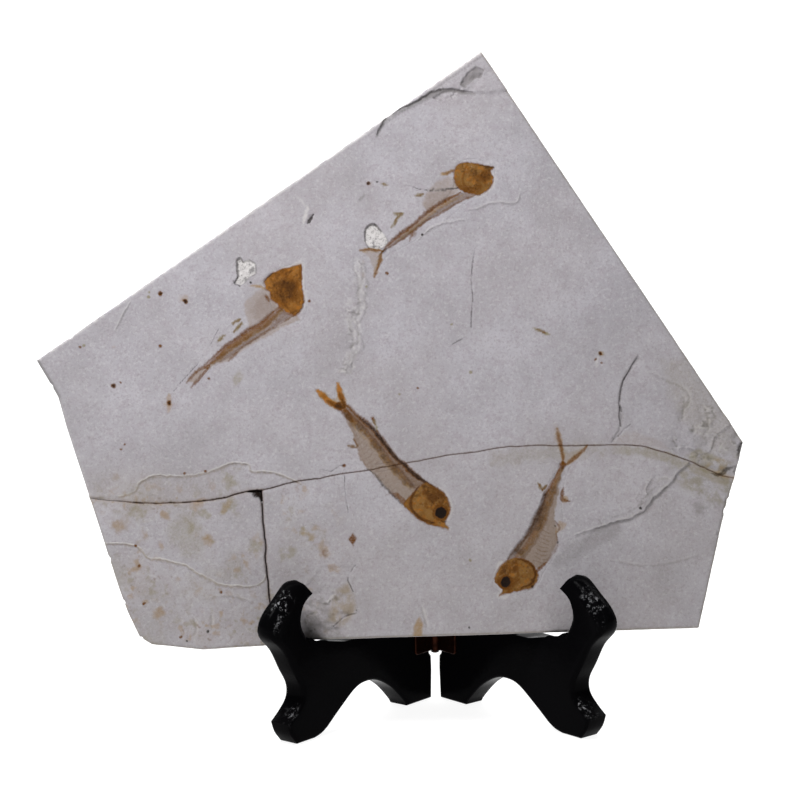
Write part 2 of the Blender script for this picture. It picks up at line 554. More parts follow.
def relief(points):
    """Height of the split face above its mean plane."""
    height = SWELL * rough(points, SWELL_LENGTH, 3, 2)
    height += GRAIN * rough(points, 2.6, 11, 3) + 0.16 * rough(points, 12, 15, 3)
    plateaus = rough(points, 30, 31, 5)
    for level in (-0.3, -0.05, 0.17, 0.36):
        height += FLAKINESS * fade((plateaus - level) / 0.03)
    wobbly = wobbled(points)
    for number, (outline, rise, slope) in enumerate(TERRACES + CHIPS):
        step = rise * fade(0.5 + depth_inside(wobbly, outline, slope) / slope)
        if number == LONG_LEDGE:
            step = step * fade((points[:, 0] - LEDGE_END) / LEDGE_FADE)
        height += step
    for line, rise, half_width in WELTS + [(line, 0.22, 0.4) for line in LIPS]:
        height += rise * fade(1 - off_line(wobbly, curve(line), half_width) / half_width)
    splinters = warped(points * (1.0, 1.6), 1.5, 4, 161)
    uneven = rough(splinters, 11, 163, 4)
    ledges = sum(fade((uneven - level) / 0.05) for level in (-0.3, -0.1, 0.1, 0.3))
    for outline, amount in RUGGED:
        inside = fade(0.3 + depth_inside(wobbly, outline, 4) / 3)
        height += amount * inside * (0.5 * ledges - 1 + 0.9 * rough(splinters, 4.5, 167, 3))
    for line, width in HAIRLINES:
        height -= CRACK_DEPTH * fade(1.2 - off_line(points, waver(curve(line, 0.6)), 1) / width)
    for outline, depth, slope in CHIPS:
        inside = fade(0.5 + depth_inside(wobbly, outline, slope) / slope)
        height += CHIP_ROUGHNESS * inside * rough(points, 1.4, 51, 2)
    for fish in FISH.values():
        height += fish_relief(points, fish)
    return height


def back_relief(points):
    """The rough back, with the flake that is gone from it."""
    height = BACK_ROUGHNESS * (0.5 + 0.35 * rough(points, BACK_GRAIN, 71, 4))
    terraces = rough(points, 40, 77, 4)
    for level in (-0.2, 0.1, 0.3):
        height += 0.12 * fade((terraces - level) / 0.06)
    off = np.hypot((points[:, 0] - FLAKE_CENTRE[0]) / FLAKE_SIZE[0],
                   (points[:, 1] - FLAKE_CENTRE[1]) / FLAKE_SIZE[1])
    off += 0.06 * rough(points, 9, 79, 3)
    return -SLAB_THICKNESS + height + FLAKE_DEPTH * fade(2.2 * (1 - off))


class Face:
    """Points of the slab's face, and how strongly each tint lies on them."""

    def __init__(self, points):
        self.points = points
        self.wobbly = wobbled(points)
        self.grain = 0.5 + 0.5 * rough(points, 0.9, 23, 3)
        self.blotch = rough(points, 3.2, 27, 4)
        self.cloud = rough(points, 24, 81, 4)
        self.tints = {tint: np.zeros(len(points)) for tint in TINTS}

    def lay(self, tint, amount, broken):
        """Lay a tint on what is there of it already, broken up by the grain."""
        amount = np.clip(amount * (1 - broken * self.grain), 0, 1)
        self.tints[tint] = 1 - (1 - self.tints[tint]) * (1 - amount)

    def clear(self, outline):
        """Take every tint away inside an outline."""
        left = 1 - fade(depth_inside(self.wobbly, outline, 1) * 2 + 0.5)
        for tint in self.tints:
            self.tints[tint] *= left

    def stroke(self, tint, line, width, strength=1.0, broken=0.4, soft=0.35):
        """A line with soft sides that thins out at both ends."""
        line = curve(line, 0.8)
        distance, along = near_line(self.wobbly, line, width + soft)
        length = float(np.linalg.norm(np.diff(line, axis=0), axis=1).sum())
        ends = np.minimum(along, length - along) / max(0.25 * length, width)
        half = width / 2 * (0.3 + 0.7 * fade(ends)) * (1 + 0.5 * self.blotch)
        self.lay(tint, strength * fade(1 - (distance - half) / soft), broken)

    def strokes(self, lines, *kinds):
        """Strokes one on another along each line: the tint of each, and how it is laid."""
        for line in lines:
            for tint, *how in kinds:
                self.stroke(tint, line, *how)

    def patch(self, tint, outline, strength=1.0, broken=0.4, soft=0.8):
        """An even patch with uneven soft sides."""
        depth = depth_inside(self.wobbly, outline, 1.6 * soft) + 0.8 * soft * self.blotch
        self.lay(tint, strength * fade(0.5 + depth / soft), broken)

    def mottle(self, tint, outline, strength, amount=0.5, soft=1.0):
        """A patch of blotches inside an outline, which cover more of it as the amount rises."""
        depth = depth_inside(self.wobbly, outline, soft)
        blotches = fade((self.blotch + 0.9 * (self.grain - 0.5) + 2 * amount - 1) / 0.9 + 0.5)
        self.lay(tint, strength * blotches * fade(0.5 + depth / soft), 0.3)

    def speckle(self, tint, outline, strength, level):
        """Small grains inside an outline, the fewer the higher the level."""
        grains = rough(self.points, 1.3, 211 + len(tint), 2)
        inside = fade(0.5 + depth_inside(self.wobbly, outline, 1))
        self.lay(tint, strength * inside * fade((grains - level) / 0.15), 0.2)

    def spot(self, tint, x, y, size, strength=1.0, soft=0.4, broken=0.2):
        """A round spot, given by its place and diameter."""
        off = off_place(self.wobbly, x, y)
        self.lay(tint, strength * fade(1 - (off - size / 2) / soft), broken)

    def spots(self, tint, places, strength=1.0):
        """Several spots: place and diameter of each."""
        for x, y, size in places:
            self.spot(tint, x, y, size, strength)

    def stains(self, tint, places, strength):
        """Soft blotches with frayed edges: place and size of each."""
        frayed = warped(self.points, 2.4, 5, 97)
        for x, y, size in places:
            off = 2 * off_place(frayed, x, y) / size
            self.lay(tint, strength * fade(1.3 - off + 1.3 * self.blotch), 0.65)

    def head(self, outline, halo):
        """A fish's head: a pale halo, and brown mottled and flecked bone in a rusty rim."""
        self.stroke("pale", halo, 1.5, 0.6, 0.6, 0.8)
        self.clear(outline)
        closed = outline + outline[:1]
        self.patch("bone", outline, 1.0, 0.05, 0.4)
        self.mottle("rust", outline, 0.45)
        self.mottle("flesh", outline, 0.3, 0.4)
        self.speckle("dark", outline, 0.35, 0.35)
        self.speckle("amber", outline, 0.5, 0.2)
        self.stroke("rust", closed, 0.4, 0.6, 0.6, 0.4)


def shifted(line, across, up):
    """A line moved aside."""
    return [(x + across, y + up) for x, y in line]


def paint_eye(face, eye):
    """A dark round eye in a rusty ring."""
    x, y, radius = eye
    face.spot("rust", x, y, 2.9 * radius, 0.9, 0.7)
    face.spot("dark", x, y, 2.0 * radius, 1.0, 0.6, 0.0)


def paint_top_body(face):
    """The film and flesh of the top fish's belly, its back, its tail's rays and its fins."""
    fish = FISH["fish_top"]
    face.patch("film", [(-2.5, 182), (0, 187), (4, 191), (9, 193), (12, 191), (13.5, 186), (10, 184),
                        (0, 178)], 0.75, 0.4, 1.2)
    face.patch("flesh", [(-2, 181), (1, 186), (10, 187.5), (12, 186), (10, 184), (0, 178)], 0.25, 0.4, 1)
    face.patch("flesh", fish["belly"], 0.75, 0.3, 0.7)
    face.mottle("film", fish["belly"], 0.5, 0.45)
    back = [(14, 186), (10, 184), (5, 181.5), (0, 178), (-3, 175.5), (-7, 172), (-10, 170), (-14, 167),
            (-17, 164), (-19.5, 161)]
    face.stroke("rust", back, 1.3, 0.9, 0.45)
    face.stroke("dark", back[1:], 0.3, 0.35, 0.8)
    face.stroke("ochre", shifted(back[:-2], 0.8, -1.3), 1.0, 0.5, 0.8)
    face.stroke("rust", [(20.5, 184.8), (15, 182.5), (10, 180), (5, 176.8), (0, 174.5), (-4, 171.5),
                         (-10, 167), (-18, 162)], 0.6, 0.7, 0.6)
    face.stroke("rust", [(-6, 170), (-8, 165.5)], 0.5, 0.6)
    face.spot("flesh", -6.5, 169, 2.2, 0.6, 1.0)
    face.stroke("dark", [(-17.5, 162.5), (-20, 160.5)], 1.3, 0.45)
    rays = [[(-19, 161.6), (-24, 162.3), (-28.8, 162)], [(-19.5, 161.5), (-21, 156), (-23, 150.5)]]
    face.strokes(rays, ("ochre", 1.3, 0.7, 0.3), ("rust", 0.7, 0.8, 0.4))
    face.patch("film", [(-19, 161.5), (-28, 161.8), (-24.5, 158), (-22.5, 152)], 0.7)
    fins = [[(-14.5, 177.3), (-11, 177.3), (-12, 176.5), (-15, 171.5)],
            [(-5, 184.8), (-1.5, 185.8)], [(-19, 190.4), (-17, 190)]]
    face.strokes(fins, ("olive", 1.0, 0.9), ("rust", 0.5, 0.7, 0.5))
    face.stroke("ochre", [(5.5, 194.1), (8, 194.5), (11, 195.8)], 1.1, 0.9)
    face.stroke("rust", [(6.5, 194.3), (9, 194.8), (11.5, 195.8)], 0.7, 0.8)


def paint_top_head(face):
    """The top fish's head: olive gill cover, rusty jaw, and an eye without a ring."""
    fish = FISH["fish_top"]
    face.head(fish["head"], fish["head"][7:13] + [(18, 185)])
    face.mottle("olive", [(12, 188), (12.5, 197), (17, 198.5), (17, 191)], 0.6, 0.6)
    face.mottle("rust", [(18, 197), (27, 196.5), (27.5, 190), (22, 187), (17, 187.5)], 0.6)
    face.stroke("rust", fish["gill"], 0.7, 0.6)
    face.spot("rust", 24.6, 193, 3.0, 0.9, 1.8)
    face.spot("dark", 25, 192.6, 1.2, 0.2, 1.4)
    face.stroke("rust", [(13.5, 188.5), (17, 187.2), (21, 186.7)], 1.6, 0.75, 0.5, 0.8)
    face.stroke("dark", [(22, 197.9), (25, 197.2), (28.4, 196.6)], 0.45, 0.6)


def paint_left_body(face):
    """The left fish's belly, the rusty band along its back, its tail and its fins."""
    fish = FISH["fish_left"]
    face.patch("film", [(-78, 139), (-76, 142), (-70, 147), (-66, 146), (-62, 139), (-70, 131),
                        (-75, 129.5)], 0.75, 0.35, 1.0)
    face.patch("flesh", [(-75, 137), (-70, 145), (-66, 143), (-64, 138), (-70, 132)], 0.3, 0.4, 2.0)
    face.patch("flesh", fish["belly"], 0.8, 0.3, 0.7)
    face.patch("film", [(-56, 135.5), (-54, 133), (-62, 129.5), (-74, 123), (-84, 116.5), (-90, 114.5),
                        (-80, 121), (-66, 130)], 0.8, 0.3)
    band = [(-60, 141), (-64.5, 136), (-70, 131), (-75, 128.5), (-80, 125), (-85, 121.5), (-90, 117),
            (-93.5, 114.2)]
    face.stroke("rust", band, 2.8, 0.75, 0.5, 0.8)
    face.stroke("ochre", shifted(band, 0.6, -0.9), 1.6, 0.6, 0.6, 0.6)
    face.stroke("rust", shifted(band[1:], -0.6, 0.9), 0.7, 0.7, 0.5)
    face.stroke("rust", [(-56, 135), (-60, 133), (-65, 130), (-70, 127), (-75, 124), (-80, 120.5),
                         (-85, 117.5), (-90, 115)], 0.5, 0.55, 0.6)
    face.stroke("rust", [(-80, 120), (-84, 116.5)], 1.0, 0.7)
    face.stroke("rust", [(-67, 141), (-68.5, 144)], 0.8, 0.9)
    fins = [[(-82.5, 132), (-79, 133.8)], [(-78, 132.4), (-82, 128.5)], [(-88.5, 124.5), (-86, 127)]]
    face.strokes(fins, ("olive", 1.1, 0.9, 0.2), ("rust", 0.5, 0.7, 0.5))
    rays = [[(-92, 114.5), (-96, 113), (-99, 110.5), (-101.8, 107.5)],
            [(-92, 114), (-94.5, 111), (-97, 108.5), (-99.8, 105.5)]]
    face.strokes(rays, ("rust", 0.9, 0.85, 0.4))
    face.patch("film", [(-92, 114.5), (-98, 112), (-101, 108), (-98.5, 107)], 0.9, 0.3, 0.6)
    face.stroke("ochre", [(-75, 147.5), (-72, 147.8), (-69, 146.5)], 0.8, 0.8)


def paint_left_head(face):
    """The left fish's head: amber bone with dark streaks from the gill down."""
    fish = FISH["fish_left"]
    face.head(fish["head"], fish["head"][-4:] + fish["head"][:3])
    face.patch("amber", fish["head"], 0.55, 0.7, 1.5)
    face.mottle("rust", [(-54, 156), (-60, 155), (-67, 151), (-67.5, 145), (-62, 139), (-56, 141),
                         (-54, 150)], 0.6, 0.5, 1.5)
    face.patch("rust", [(-54.5, 151), (-63, 151.5), (-66, 147), (-63, 141), (-60, 137), (-55, 142)],
               0.45, 0.5, 2.0)
    face.mottle("amber", [(-54, 156), (-61, 154.5), (-67, 150), (-60, 151), (-55, 147), (-53.4, 150)],
                0.7)
    face.mottle("dark", [(-56, 149), (-63, 150), (-65.5, 147), (-63, 142), (-60, 139), (-57, 143)],
                0.45, 0.55, 1.8)
    for k in range(9):
        x, y = -66 + 1.3 * k, 150.5 - 0.4 * k
        face.stroke("rust", [(x, y), (x + 2.2, y - 4), (x + 2.6, y - 8)], 0.5, 0.6, 0.8, 0.4)
    face.stroke("rust", [(-54, 151), (-53.6, 156)], 1.4, 0.8)
    face.mottle("ochre", [(-57.5, 142), (-53.4, 143), (-53, 138), (-56, 136), (-60, 137)], 0.5, 0.6)
    face.mottle("olive", [(-54, 157), (-58, 156.5), (-66, 153), (-69, 149), (-67, 148), (-60, 152)], 0.5)
    face.stroke("rust", fish["gill"], 0.7, 0.6)
    face.stroke("dark", [(-69, 149.5), (-67.5, 151.5), (-65, 153)], 0.45, 0.7)
    face.stroke("dark", [(-55.5, 135.6), (-53.2, 138), (-52.6, 141)], 0.4, 0.55)


def paint_centre_body(face):
    """The centre fish's belly and dark back, which the break crosses, and its ribs."""
    above = [(-36.5, 95.5), (-35, 89), (-32.5, 84), (-31, 79), (-30, 74), (-26.5, 69.5), (-19, 61.5),
             (-13, 55), (-6, 60), (-3, 63.8), (-12, 71.5), (-20, 80.5), (-30, 91.5)]
    face.patch("film", above, 1.0, 0.25, 0.7)
    face.patch("flesh", above, 0.3, 0.5, 0.7)
    face.patch("flesh", [(-36, 95), (-27, 83), (-21, 73), (-13, 64)] + above[-5:], 0.8)
    band = [(-36, 95), (-32, 90), (-28, 85.5), (-24, 80.5), (-20, 76), (-17, 71.5), (-13, 67.5),
            (-9, 62.5), (-7, 60.5)]
    face.stroke("ochre", shifted(band, -0.7, -0.7), 2.0, 0.5, 0.8, 0.6)
    face.stroke("rust", band, 1.8, 0.6, 0.8, 0.8)
    face.mottle("dark", shifted(band, -1.4, -1.2) + shifted(band, 0.8, 0.8)[::-1], 0.45, 0.45, 0.6)
    back = [(-36, 97), (-34.5, 96), (-30, 91.5), (-25, 87), (-20, 80.5), (-15, 74), (-12, 71.5),
            (-9, 68.5), (-6, 66), (-3, 63.8), (0, 62)]
    face.stroke("rust", back, 1.8, 0.85)
    face.stroke("dark", back[2:], 0.8, 0.9, 0.4, 0.5)
    face.stroke("rust", [(-37.5, 93.5), (-34, 88), (-32, 84), (-31, 79), (-29.5, 74), (-27, 71)], 0.4,
                0.35, 0.7)
    face.stroke("dark", [(-27, 70), (-24, 67.5), (-22, 64.5), (-19, 61.5), (-17, 59), (-13, 55)],
                0.5, 0.65)
    face.patch("rust", [(-18.5, 60), (-15, 60), (-11, 56), (-9, 52.4), (-13, 55.5)], 0.75, 0.4, 0.6)
    for k in range(16):
        x, y = -33.5 + 1.05 * k, 88.5 - 1.9 * k
        rib = [(x - 2.2, y - 1.4), (x, y), (x + 1.6, y + 1.6)]
        face.stroke("flesh", rib, 0.3, 0.35, 0.7, 0.25)


def paint_centre_tail(face):
    """The root and the two bright rays of the centre fish's tail, and its fins."""
    face.patch("flesh", [(-38.5, 98), (-34, 97), (-29.5, 91.5), (-33, 87)], 0.9, 0.2)
    face.stroke("rust", [(-39, 97.5), (-36, 94), (-33, 90)], 2.2, 0.8, 0.4, 0.6)
    rays = [[(-36.5, 95.5), (-40, 96.8), (-43, 98.8), (-47.3, 103)],
            [(-36, 96), (-37, 99), (-38, 102), (-38.8, 105.8)]]
    face.strokes(rays, ("olive", 2.4, 0.5, 0.3, 0.7), ("ochre", 2.0, 0.85, 0.3, 0.6),
                 ("amber", 1.6, 0.9, 0.3, 0.5))
    face.strokes([ray[:3] for ray in rays], ("rust", 1.2, 0.9, 0.4, 0.6))
    face.strokes([ray[:2] for ray in rays], ("dark", 0.7, 0.5, 0.5, 0.5))
    face.patch("ochre", [(-36.5, 96), (-43, 99.5), (-40, 99.5), (-38, 102)], 0.5, 0.3)
    face.spot("rust", -38.2, 96.3, 3.0, 0.9, 0.8)
    face.spot("dark", -38.6, 96.6, 1.2, 0.4, 1.0)
    face.spot("rust", -24.5, 91, 1.0)
    face.stroke("olive", [(-24.2, 90.5), (-23, 86)], 1.0, 0.9)
    face.stroke("rust", [(-24.2, 90.5), (-23.6, 88)], 0.6, 0.7)
    fins = [[(-34.8, 79.6), (-31, 78.7)], [(-31, 78.7), (-32.5, 83)]]
    face.strokes(fins, ("olive", 0.9, 0.6), ("rust", 0.6, 0.8))


def paint_centre_head(face):
    """The centre fish's head, with a dark gill line and a large eye."""
    fish = FISH["fish_centre_head"]
    face.head(fish["head"], fish["head"][5:13])
    face.mottle("olive", [(-6, 61), (-9, 56), (-8.5, 52.5), (-3, 49), (1, 49.5), (0, 54), (-3, 59)],
                0.6, 0.6)
    face.stroke("rust", fish["gill"], 1.0, 0.85, 0.3)
    face.stroke("dark", fish["gill"], 0.35, 0.5, 0.5)
    face.mottle("rust", [(-5, 63), (-4, 54), (1, 51), (6, 50), (5, 57.5), (1, 61.5)], 0.85, 0.62)
    face.mottle("dark", [(-5, 63), (-2.5, 57), (1, 54), (6, 54), (5, 57.5), (1, 61.5)], 0.35)
    face.stroke("rust", [(-3, 63.5), (1, 61.5), (4.5, 58), (6.2, 54)], 1.2, 0.7)
    face.stroke("ochre", [(-4, 48), (1, 47), (5.6, 44.8)], 1.4, 0.7, 0.2)
    face.stroke("dark", [(3, 47.8), (5, 47.2)], 0.4, 0.6)
    paint_eye(face, fish["eye"])


def paint_lower_body(face):
    """The lower fish's belly, the band along its back, and its ribs."""
    fish = FISH["fish_lower"]
    face.patch("film", fish["belly"], 1.0, 0.2)
    face.patch("flesh", fish["belly"], 0.45, 0.5)
    face.patch("flesh", fish["belly"][:5] + [(50, 58), (47, 48), (42, 38), (36.5, 31.5)],
               0.75, 0.4, 0.7)
    band = [(54, 70), (51.5, 64), (49.5, 60), (47.5, 55), (45.5, 49), (43.5, 44.5), (41, 40),
            (37.5, 35.5), (34, 32.5)]
    face.stroke("ochre", band, 1.4, 0.4, 0.8, 0.7)
    face.stroke("rust", shifted(band, -0.6, 0.3), 2.4, 0.6, 0.7, 0.7)
    face.mottle("dark", shifted(band, -3.2, 1.2) + shifted(band, 0.3, -0.2)[::-1], 0.5, 0.45, 0.8)
    back = [(52.5, 69), (49, 63), (46, 58), (44, 53), (41.5, 48.5), (39, 43), (36, 39), (33, 35.5),
            (30, 32)]
    face.stroke("rust", back, 1.1, 0.6, 0.5)
    face.stroke("dark", back[2:], 1.6, 0.55, 0.7, 0.7)
    face.stroke("rust", [(42.5, 27.5), (45.5, 30), (48, 33), (50, 36), (50.5, 38.5), (50, 42)], 0.5, 0.5,
                0.6)
    for k in range(9):
        x, y = 40.2 + 0.55 * k, 31.2 + 1.5 * k
        rib = [(x, y), (x + 2.5, y - 1.2), (x + 5.5 - 0.3 * k, y - 1.4)]
        face.stroke("flesh", rib, 0.25, 0.6, 0.5, 0.25)


def paint_lower_tail(face):
    """The lower fish's fins, and its tail with the film about it."""
    face.patch("ochre", [(50, 42.5), (53.5, 43.5), (54.5, 46), (51, 47.5)], 0.5, 0.5, 1.0)
    face.stroke("rust", [(49.5, 47), (51.5, 44), (50.5, 42.5)], 0.5, 0.6)
    face.spots("dark", [(49.5, 45, 0.4), (50.5, 38, 0.5)], 0.7)
    face.stroke("rust", [(53.4, 60.5), (53, 58), (53.2, 55.6), (56, 55)], 1.1, 0.85)
    face.spot("ochre", 54, 55.8, 2.0, 0.6, 0.8)
    fins = [[(43.3, 62.8), (45, 59.8)], [(46.8, 61.8), (45, 59.8)]]
    face.strokes(fins, ("olive", 1.1, 0.8), ("rust", 0.6, 0.8))
    rays = [[(53.6, 70), (53.8, 74), (53, 78), (51.8, 85)],
            [(54.5, 70), (58, 72.5), (61, 75), (64, 78)]]
    face.strokes(rays, ("ochre", 1.5, 0.6, 0.4), ("rust", 0.9, 0.8, 0.4))
    face.spot("rust", 53.7, 70, 2.0, 0.85, 0.8)
    face.patch("film", [(53.5, 69), (52.5, 78), (56.5, 75), (62, 77), (57, 71)], 0.7, 0.3)
    face.patch("film", [(52, 79), (52.5, 86), (50.5, 88), (50.5, 80)], 0.5, 0.4, 1.0)


def paint_lower_head(face):
    """The lower fish's head, with an olive gill cover and a dark eye."""
    fish = FISH["fish_lower"]
    face.head(fish["head"], fish["head"][:3] + fish["head"][-6:])
    face.mottle("olive", [(33, 30), (39, 29), (40.5, 24), (36, 20), (33, 22)], 0.5, 0.6)
    face.stroke("rust", fish["gill"], 1.0, 0.85, 0.3)
    face.stroke("dark", fish["gill"], 0.3, 0.5, 0.5)
    face.mottle("rust", [(25, 22), (26, 26), (30, 30.8), (33.5, 31.5), (35, 22), (30, 18)], 0.85, 0.65)
    face.mottle("dark", [(26, 26), (30, 30.8), (33.5, 31.5), (33, 24), (29, 24)], 0.3)
    face.stroke("rust", [(41.5, 26.5), (45.5, 30)], 1.0, 0.8)
    face.patch("flesh", [(29, 30.5), (32.5, 36), (36, 34.5), (36.5, 31.5), (32, 32)], 0.7, 0.3)
    paint_eye(face, fish["eye"])
    face.spot("dark", 39.5, 20.2, 0.8, 0.8)


def paint_specks(face):
    """The loose spots and stains all over the stone."""
    for tint, strength, places in STAINS:
        face.stains(tint, places, strength)
    for tint, strength, places in SPOTS:
        face.spots(tint, places, strength)
    face.stroke("ochre", [(-109.2, 95.5), (-109, 102.5)], 1.0, 0.5, 0.4, 0.7)
    face.stroke("olive", [(43, 127.5), (47, 126), (50, 124.5)], 1.0, 0.9)
    face.stroke("rust", [(44.5, 127), (48.5, 125.3)], 0.5, 0.8)
    face.patch("rust", [(-33.5, 43.8), (-31.8, 41), (-33.5, 38.3), (-35.7, 41)], 0.95, 0.3, 0.6)
    face.patch("shade", CHIPS[2][0], 0.75)
    face.stroke("shade", [(-29, 183.5), (-26.5, 185.5)], 0.7, 0.7)
    face.stroke("pale", [(69.5, 115), (68.8, 111)], 0.7, 0.5)


def paint_chip(face, outline):
    """A fresh white chip, speckled and cracked, with a dark rim at its top and left."""
    face.clear(outline)
    face.patch("pale", outline, 1.0, 0.1, 0.4)
    inside = fade(depth_inside(face.wobbly, outline, 1) + 0.3)
    flakes = rough(face.points, 1.5, 141, 3)
    face.lay("shade", 0.85 * inside * fade(3 * (flakes - 0.05)), 0.2)
    face.lay("dark", 0.5 * inside * fade(1.2 - abs(flakes + 0.12) / 0.06), 0.3)
    face.stroke("dark", outline[-1:] + outline[:5], 0.5, 0.8, 0.6, 0.4)
    face.stroke("shade", outline[5:], 0.6, 0.7, 0.4, 0.3)


def ridges(face, lines, *sides):
    """Ridges or cracks: the tint of each side, its place beside the line, and how it is laid."""
    for line in lines:
        for tint, across, up, *how in sides:
            face.stroke(tint, shifted(line, across, up), *how)


def paint_pale_streak(face):
    """The streak of loose flakes: whitish, with wavy strands."""
    face.mottle("pale", PALE_STREAK, 0.5, 0.4)
    face.mottle("shade", shifted(PALE_STREAK, 0.5, -0.3), 0.35, 0.35)
    middle = curve([(-29, 158), (-28.3, 148), (-28.8, 139), (-31.3, 130), (-31, 121), (-36, 110)], 2.0)
    for tint, across, seed in (("shade", -1.6, 221), ("pale", -1.0, 221), ("shade", 0.4, 223),
                               ("pale", 1.0, 223), ("shade", 1.9, 225), ("pale", 0.1, 227)):
        face.stroke(tint, waver(middle + (across, 0), 2.6, 5, seed), 0.6, 0.75, 1.1, 0.4)


def paint_ridges(face):
    """Welts, lips and small ridges, each with a lit and a shaded side, and the finest cracks."""
    ridges(face, [line for line, _, _ in WELTS[:2] + WELTS[3:]],
           ("pale", -0.1, 0.4, 0.5, 0.4, 0.9, 0.4), ("shade", 0.1, -0.4, 0.6, 0.6, 0.8, 0.4))
    ridges(face, LIPS[1:3],
           ("pale", 0, 0, 0.5, 0.9, 0.8, 0.4), ("shade", 0.3, -0.6, 0.6, 0.55, 0.8, 0.4),
           ("ochre", 0.2, -0.4, 0.4, 0.25, 0.9, 0.5))
    for line, strength in zip(LIPS[:1] + LIPS[3:], (1.0, 0.6, 0.6)):
        ridges(face, [line], ("shade", 0.4, -0.6, 0.9, 0.55 * strength, 0.8, 0.5),
               ("pale", -0.5, 0.5, 0.4, 0.5 * strength, 0.9, 0.3),
               ("dark", 0, 0, 0.25, 0.5 * strength, 0.9, 0.3))
    ridges(face, [[(102.4, 102.8), (105.6, 100.8), (107.4, 97.4), (105.9, 93.5), (103.9, 90.9)],
                  [(104.2, 98.8), (105.4, 96.2), (104.4, 88.3)],
                  [(114.3, 90), (114.8, 86.7), (114.7, 82.8)],
                  [(-98.9, 10.2), (-97.7, 7.1), (-98, 4), (-100.4, 2.2)],
                  [(-91.5, 11.3), (-91.5, 5.8)], [(-5.4, 12.6), (-3.4, 5)],
                  [(92.3, 62.4), (95, 63.7), (97.6, 63.6)]],
           ("pale", 0, 0, 0.7, 0.55, 0.6, 0.4), ("shade", -0.7, -0.2, 0.5, 0.6, 0.6, 0.4))
    ridges(face, [[(90.7, 107.7), (96.5, 104.9), (103.3, 102.2)],
                  [(-95.4, 17.5), (-85.5, 18.6), (-75.6, 15.9)],
                  [(-53.3, 15.1), (-46.8, 12.3), (-40.5, 6.8)],
                  [(-52.8, 12.4), (-48, 8), (-43.8, 1.5)], [(-53, 8), (-50, 5), (-48, 1.5)],
                  [(72, 30), (84, 28), (96, 28.5), (108, 31.5)],
                  [(108.5, 51.8), (111.1, 51.3), (113.3, 51)]],
           ("shade", 0, 0, 0.5, 0.5, 0.9, 0.5), ("pale", 0.2, 0.8, 0.5, 0.3, 0.9, 0.4))


def paint_steps(face):
    """Shadow and dirt along the steps of the terraces and at chipped edges, and in fine cracks."""
    face.stroke("shade", shifted(LIPS[0][3:9], -2.2, 1.8), 0.6, 0.5, 0.7, 0.4)
    face.stroke("shade", WELTS[2][0], 1.0, 0.5, 0.8, 0.6)
    face.stroke("dark", [(78.1, 94.5), (78.4, 92)], 0.9, 0.6, 0.5)
    face.stroke("dark", [(-1, 187.5), (5, 187.3), (9, 187.5), (13, 188)], 0.4, 0.85, 0.3)
    face.stroke("dark", TERRACES[0][0][:9], 0.35, 0.6, 0.6, 0.4)
    face.stroke("shade", shifted(TERRACES[0][0][:9], 0.3, -0.8), 1.4, 0.75, 0.4, 0.6)
    face.stroke("shade", [(25, 247), (27, 243.5), (29, 240)], 1.6, 0.9, 0.3)
    face.stroke("shade", [(128, 79), (127, 75), (126, 72)], 1.8, 0.8, 0.3)
    face.stroke("shade", [(121, 55), (119.5, 48)], 1.6, 0.7, 0.3)
    for line, width in HAIRLINES:
        near = off_line(face.points, waver(curve(line, 0.6)), 1)
        face.lay("dark", 0.75 * fade(1.3 - near / width) * fade(0.7 + 2 * face.blotch), 0.5)
    face.stroke("shade", [(50, 30), (62, 37), (75, 43)], 3.5, 0.35, 0.3, 3)


def paint_flaked(face):
    """Where the face is splintered: short wavy edges of flakes, each with a lit and a dirty side."""
    edge = rough(warped(face.points, 1.6, 5, 201), 6, 203, 3)
    broken = fade(2.5 * rough(face.points, 5, 207, 2) + 0.45)
    for outline, amount in RUGGED:
        inside = min(1, 1.7 * amount) * broken * fade(0.5 + depth_inside(face.wobbly, outline, 4) / 3)
        face.lay("pale", 0.65 * inside * fade(1.2 - abs(edge + 0.07) / 0.06), 0.4)
        face.lay("shade", 0.9 * inside * fade(1.2 - abs(edge - 0.05) / 0.06), 0.4)
        face.lay("dark", 0.3 * inside * fade(1.2 - abs(edge - 0.02) / 0.02), 0.5)


def paint_clouds(face):
    """Broad tints: brownish at the lower left, a little darker towards the right and the foot."""
    points, cloud = face.points, face.cloud
    corner = fade((-40 - points[:, 0]) / 70) * fade((78 - points[:, 1]) / 30)
    face.lay("film", 0.40 * corner * fade(0.5 + 1.6 * cloud), 0.5)
    face.lay("olive", 0.36 * corner * fade(0.2 - 1.8 * rough(points, 15, 85, 3)), 0.6)
    face.lay("film", 0.12 * fade(0.3 + 1.5 * rough(points, 36, 91, 4)), 0.6)
    face.lay("shade", 0.10 * fade((points[:, 0] - 40) / 90) + 0.12 * fade(cloud * 2), 0.3)
    face.lay("olive", 0.10 * fade((150 - points[:, 1]) / 150), 0.3)


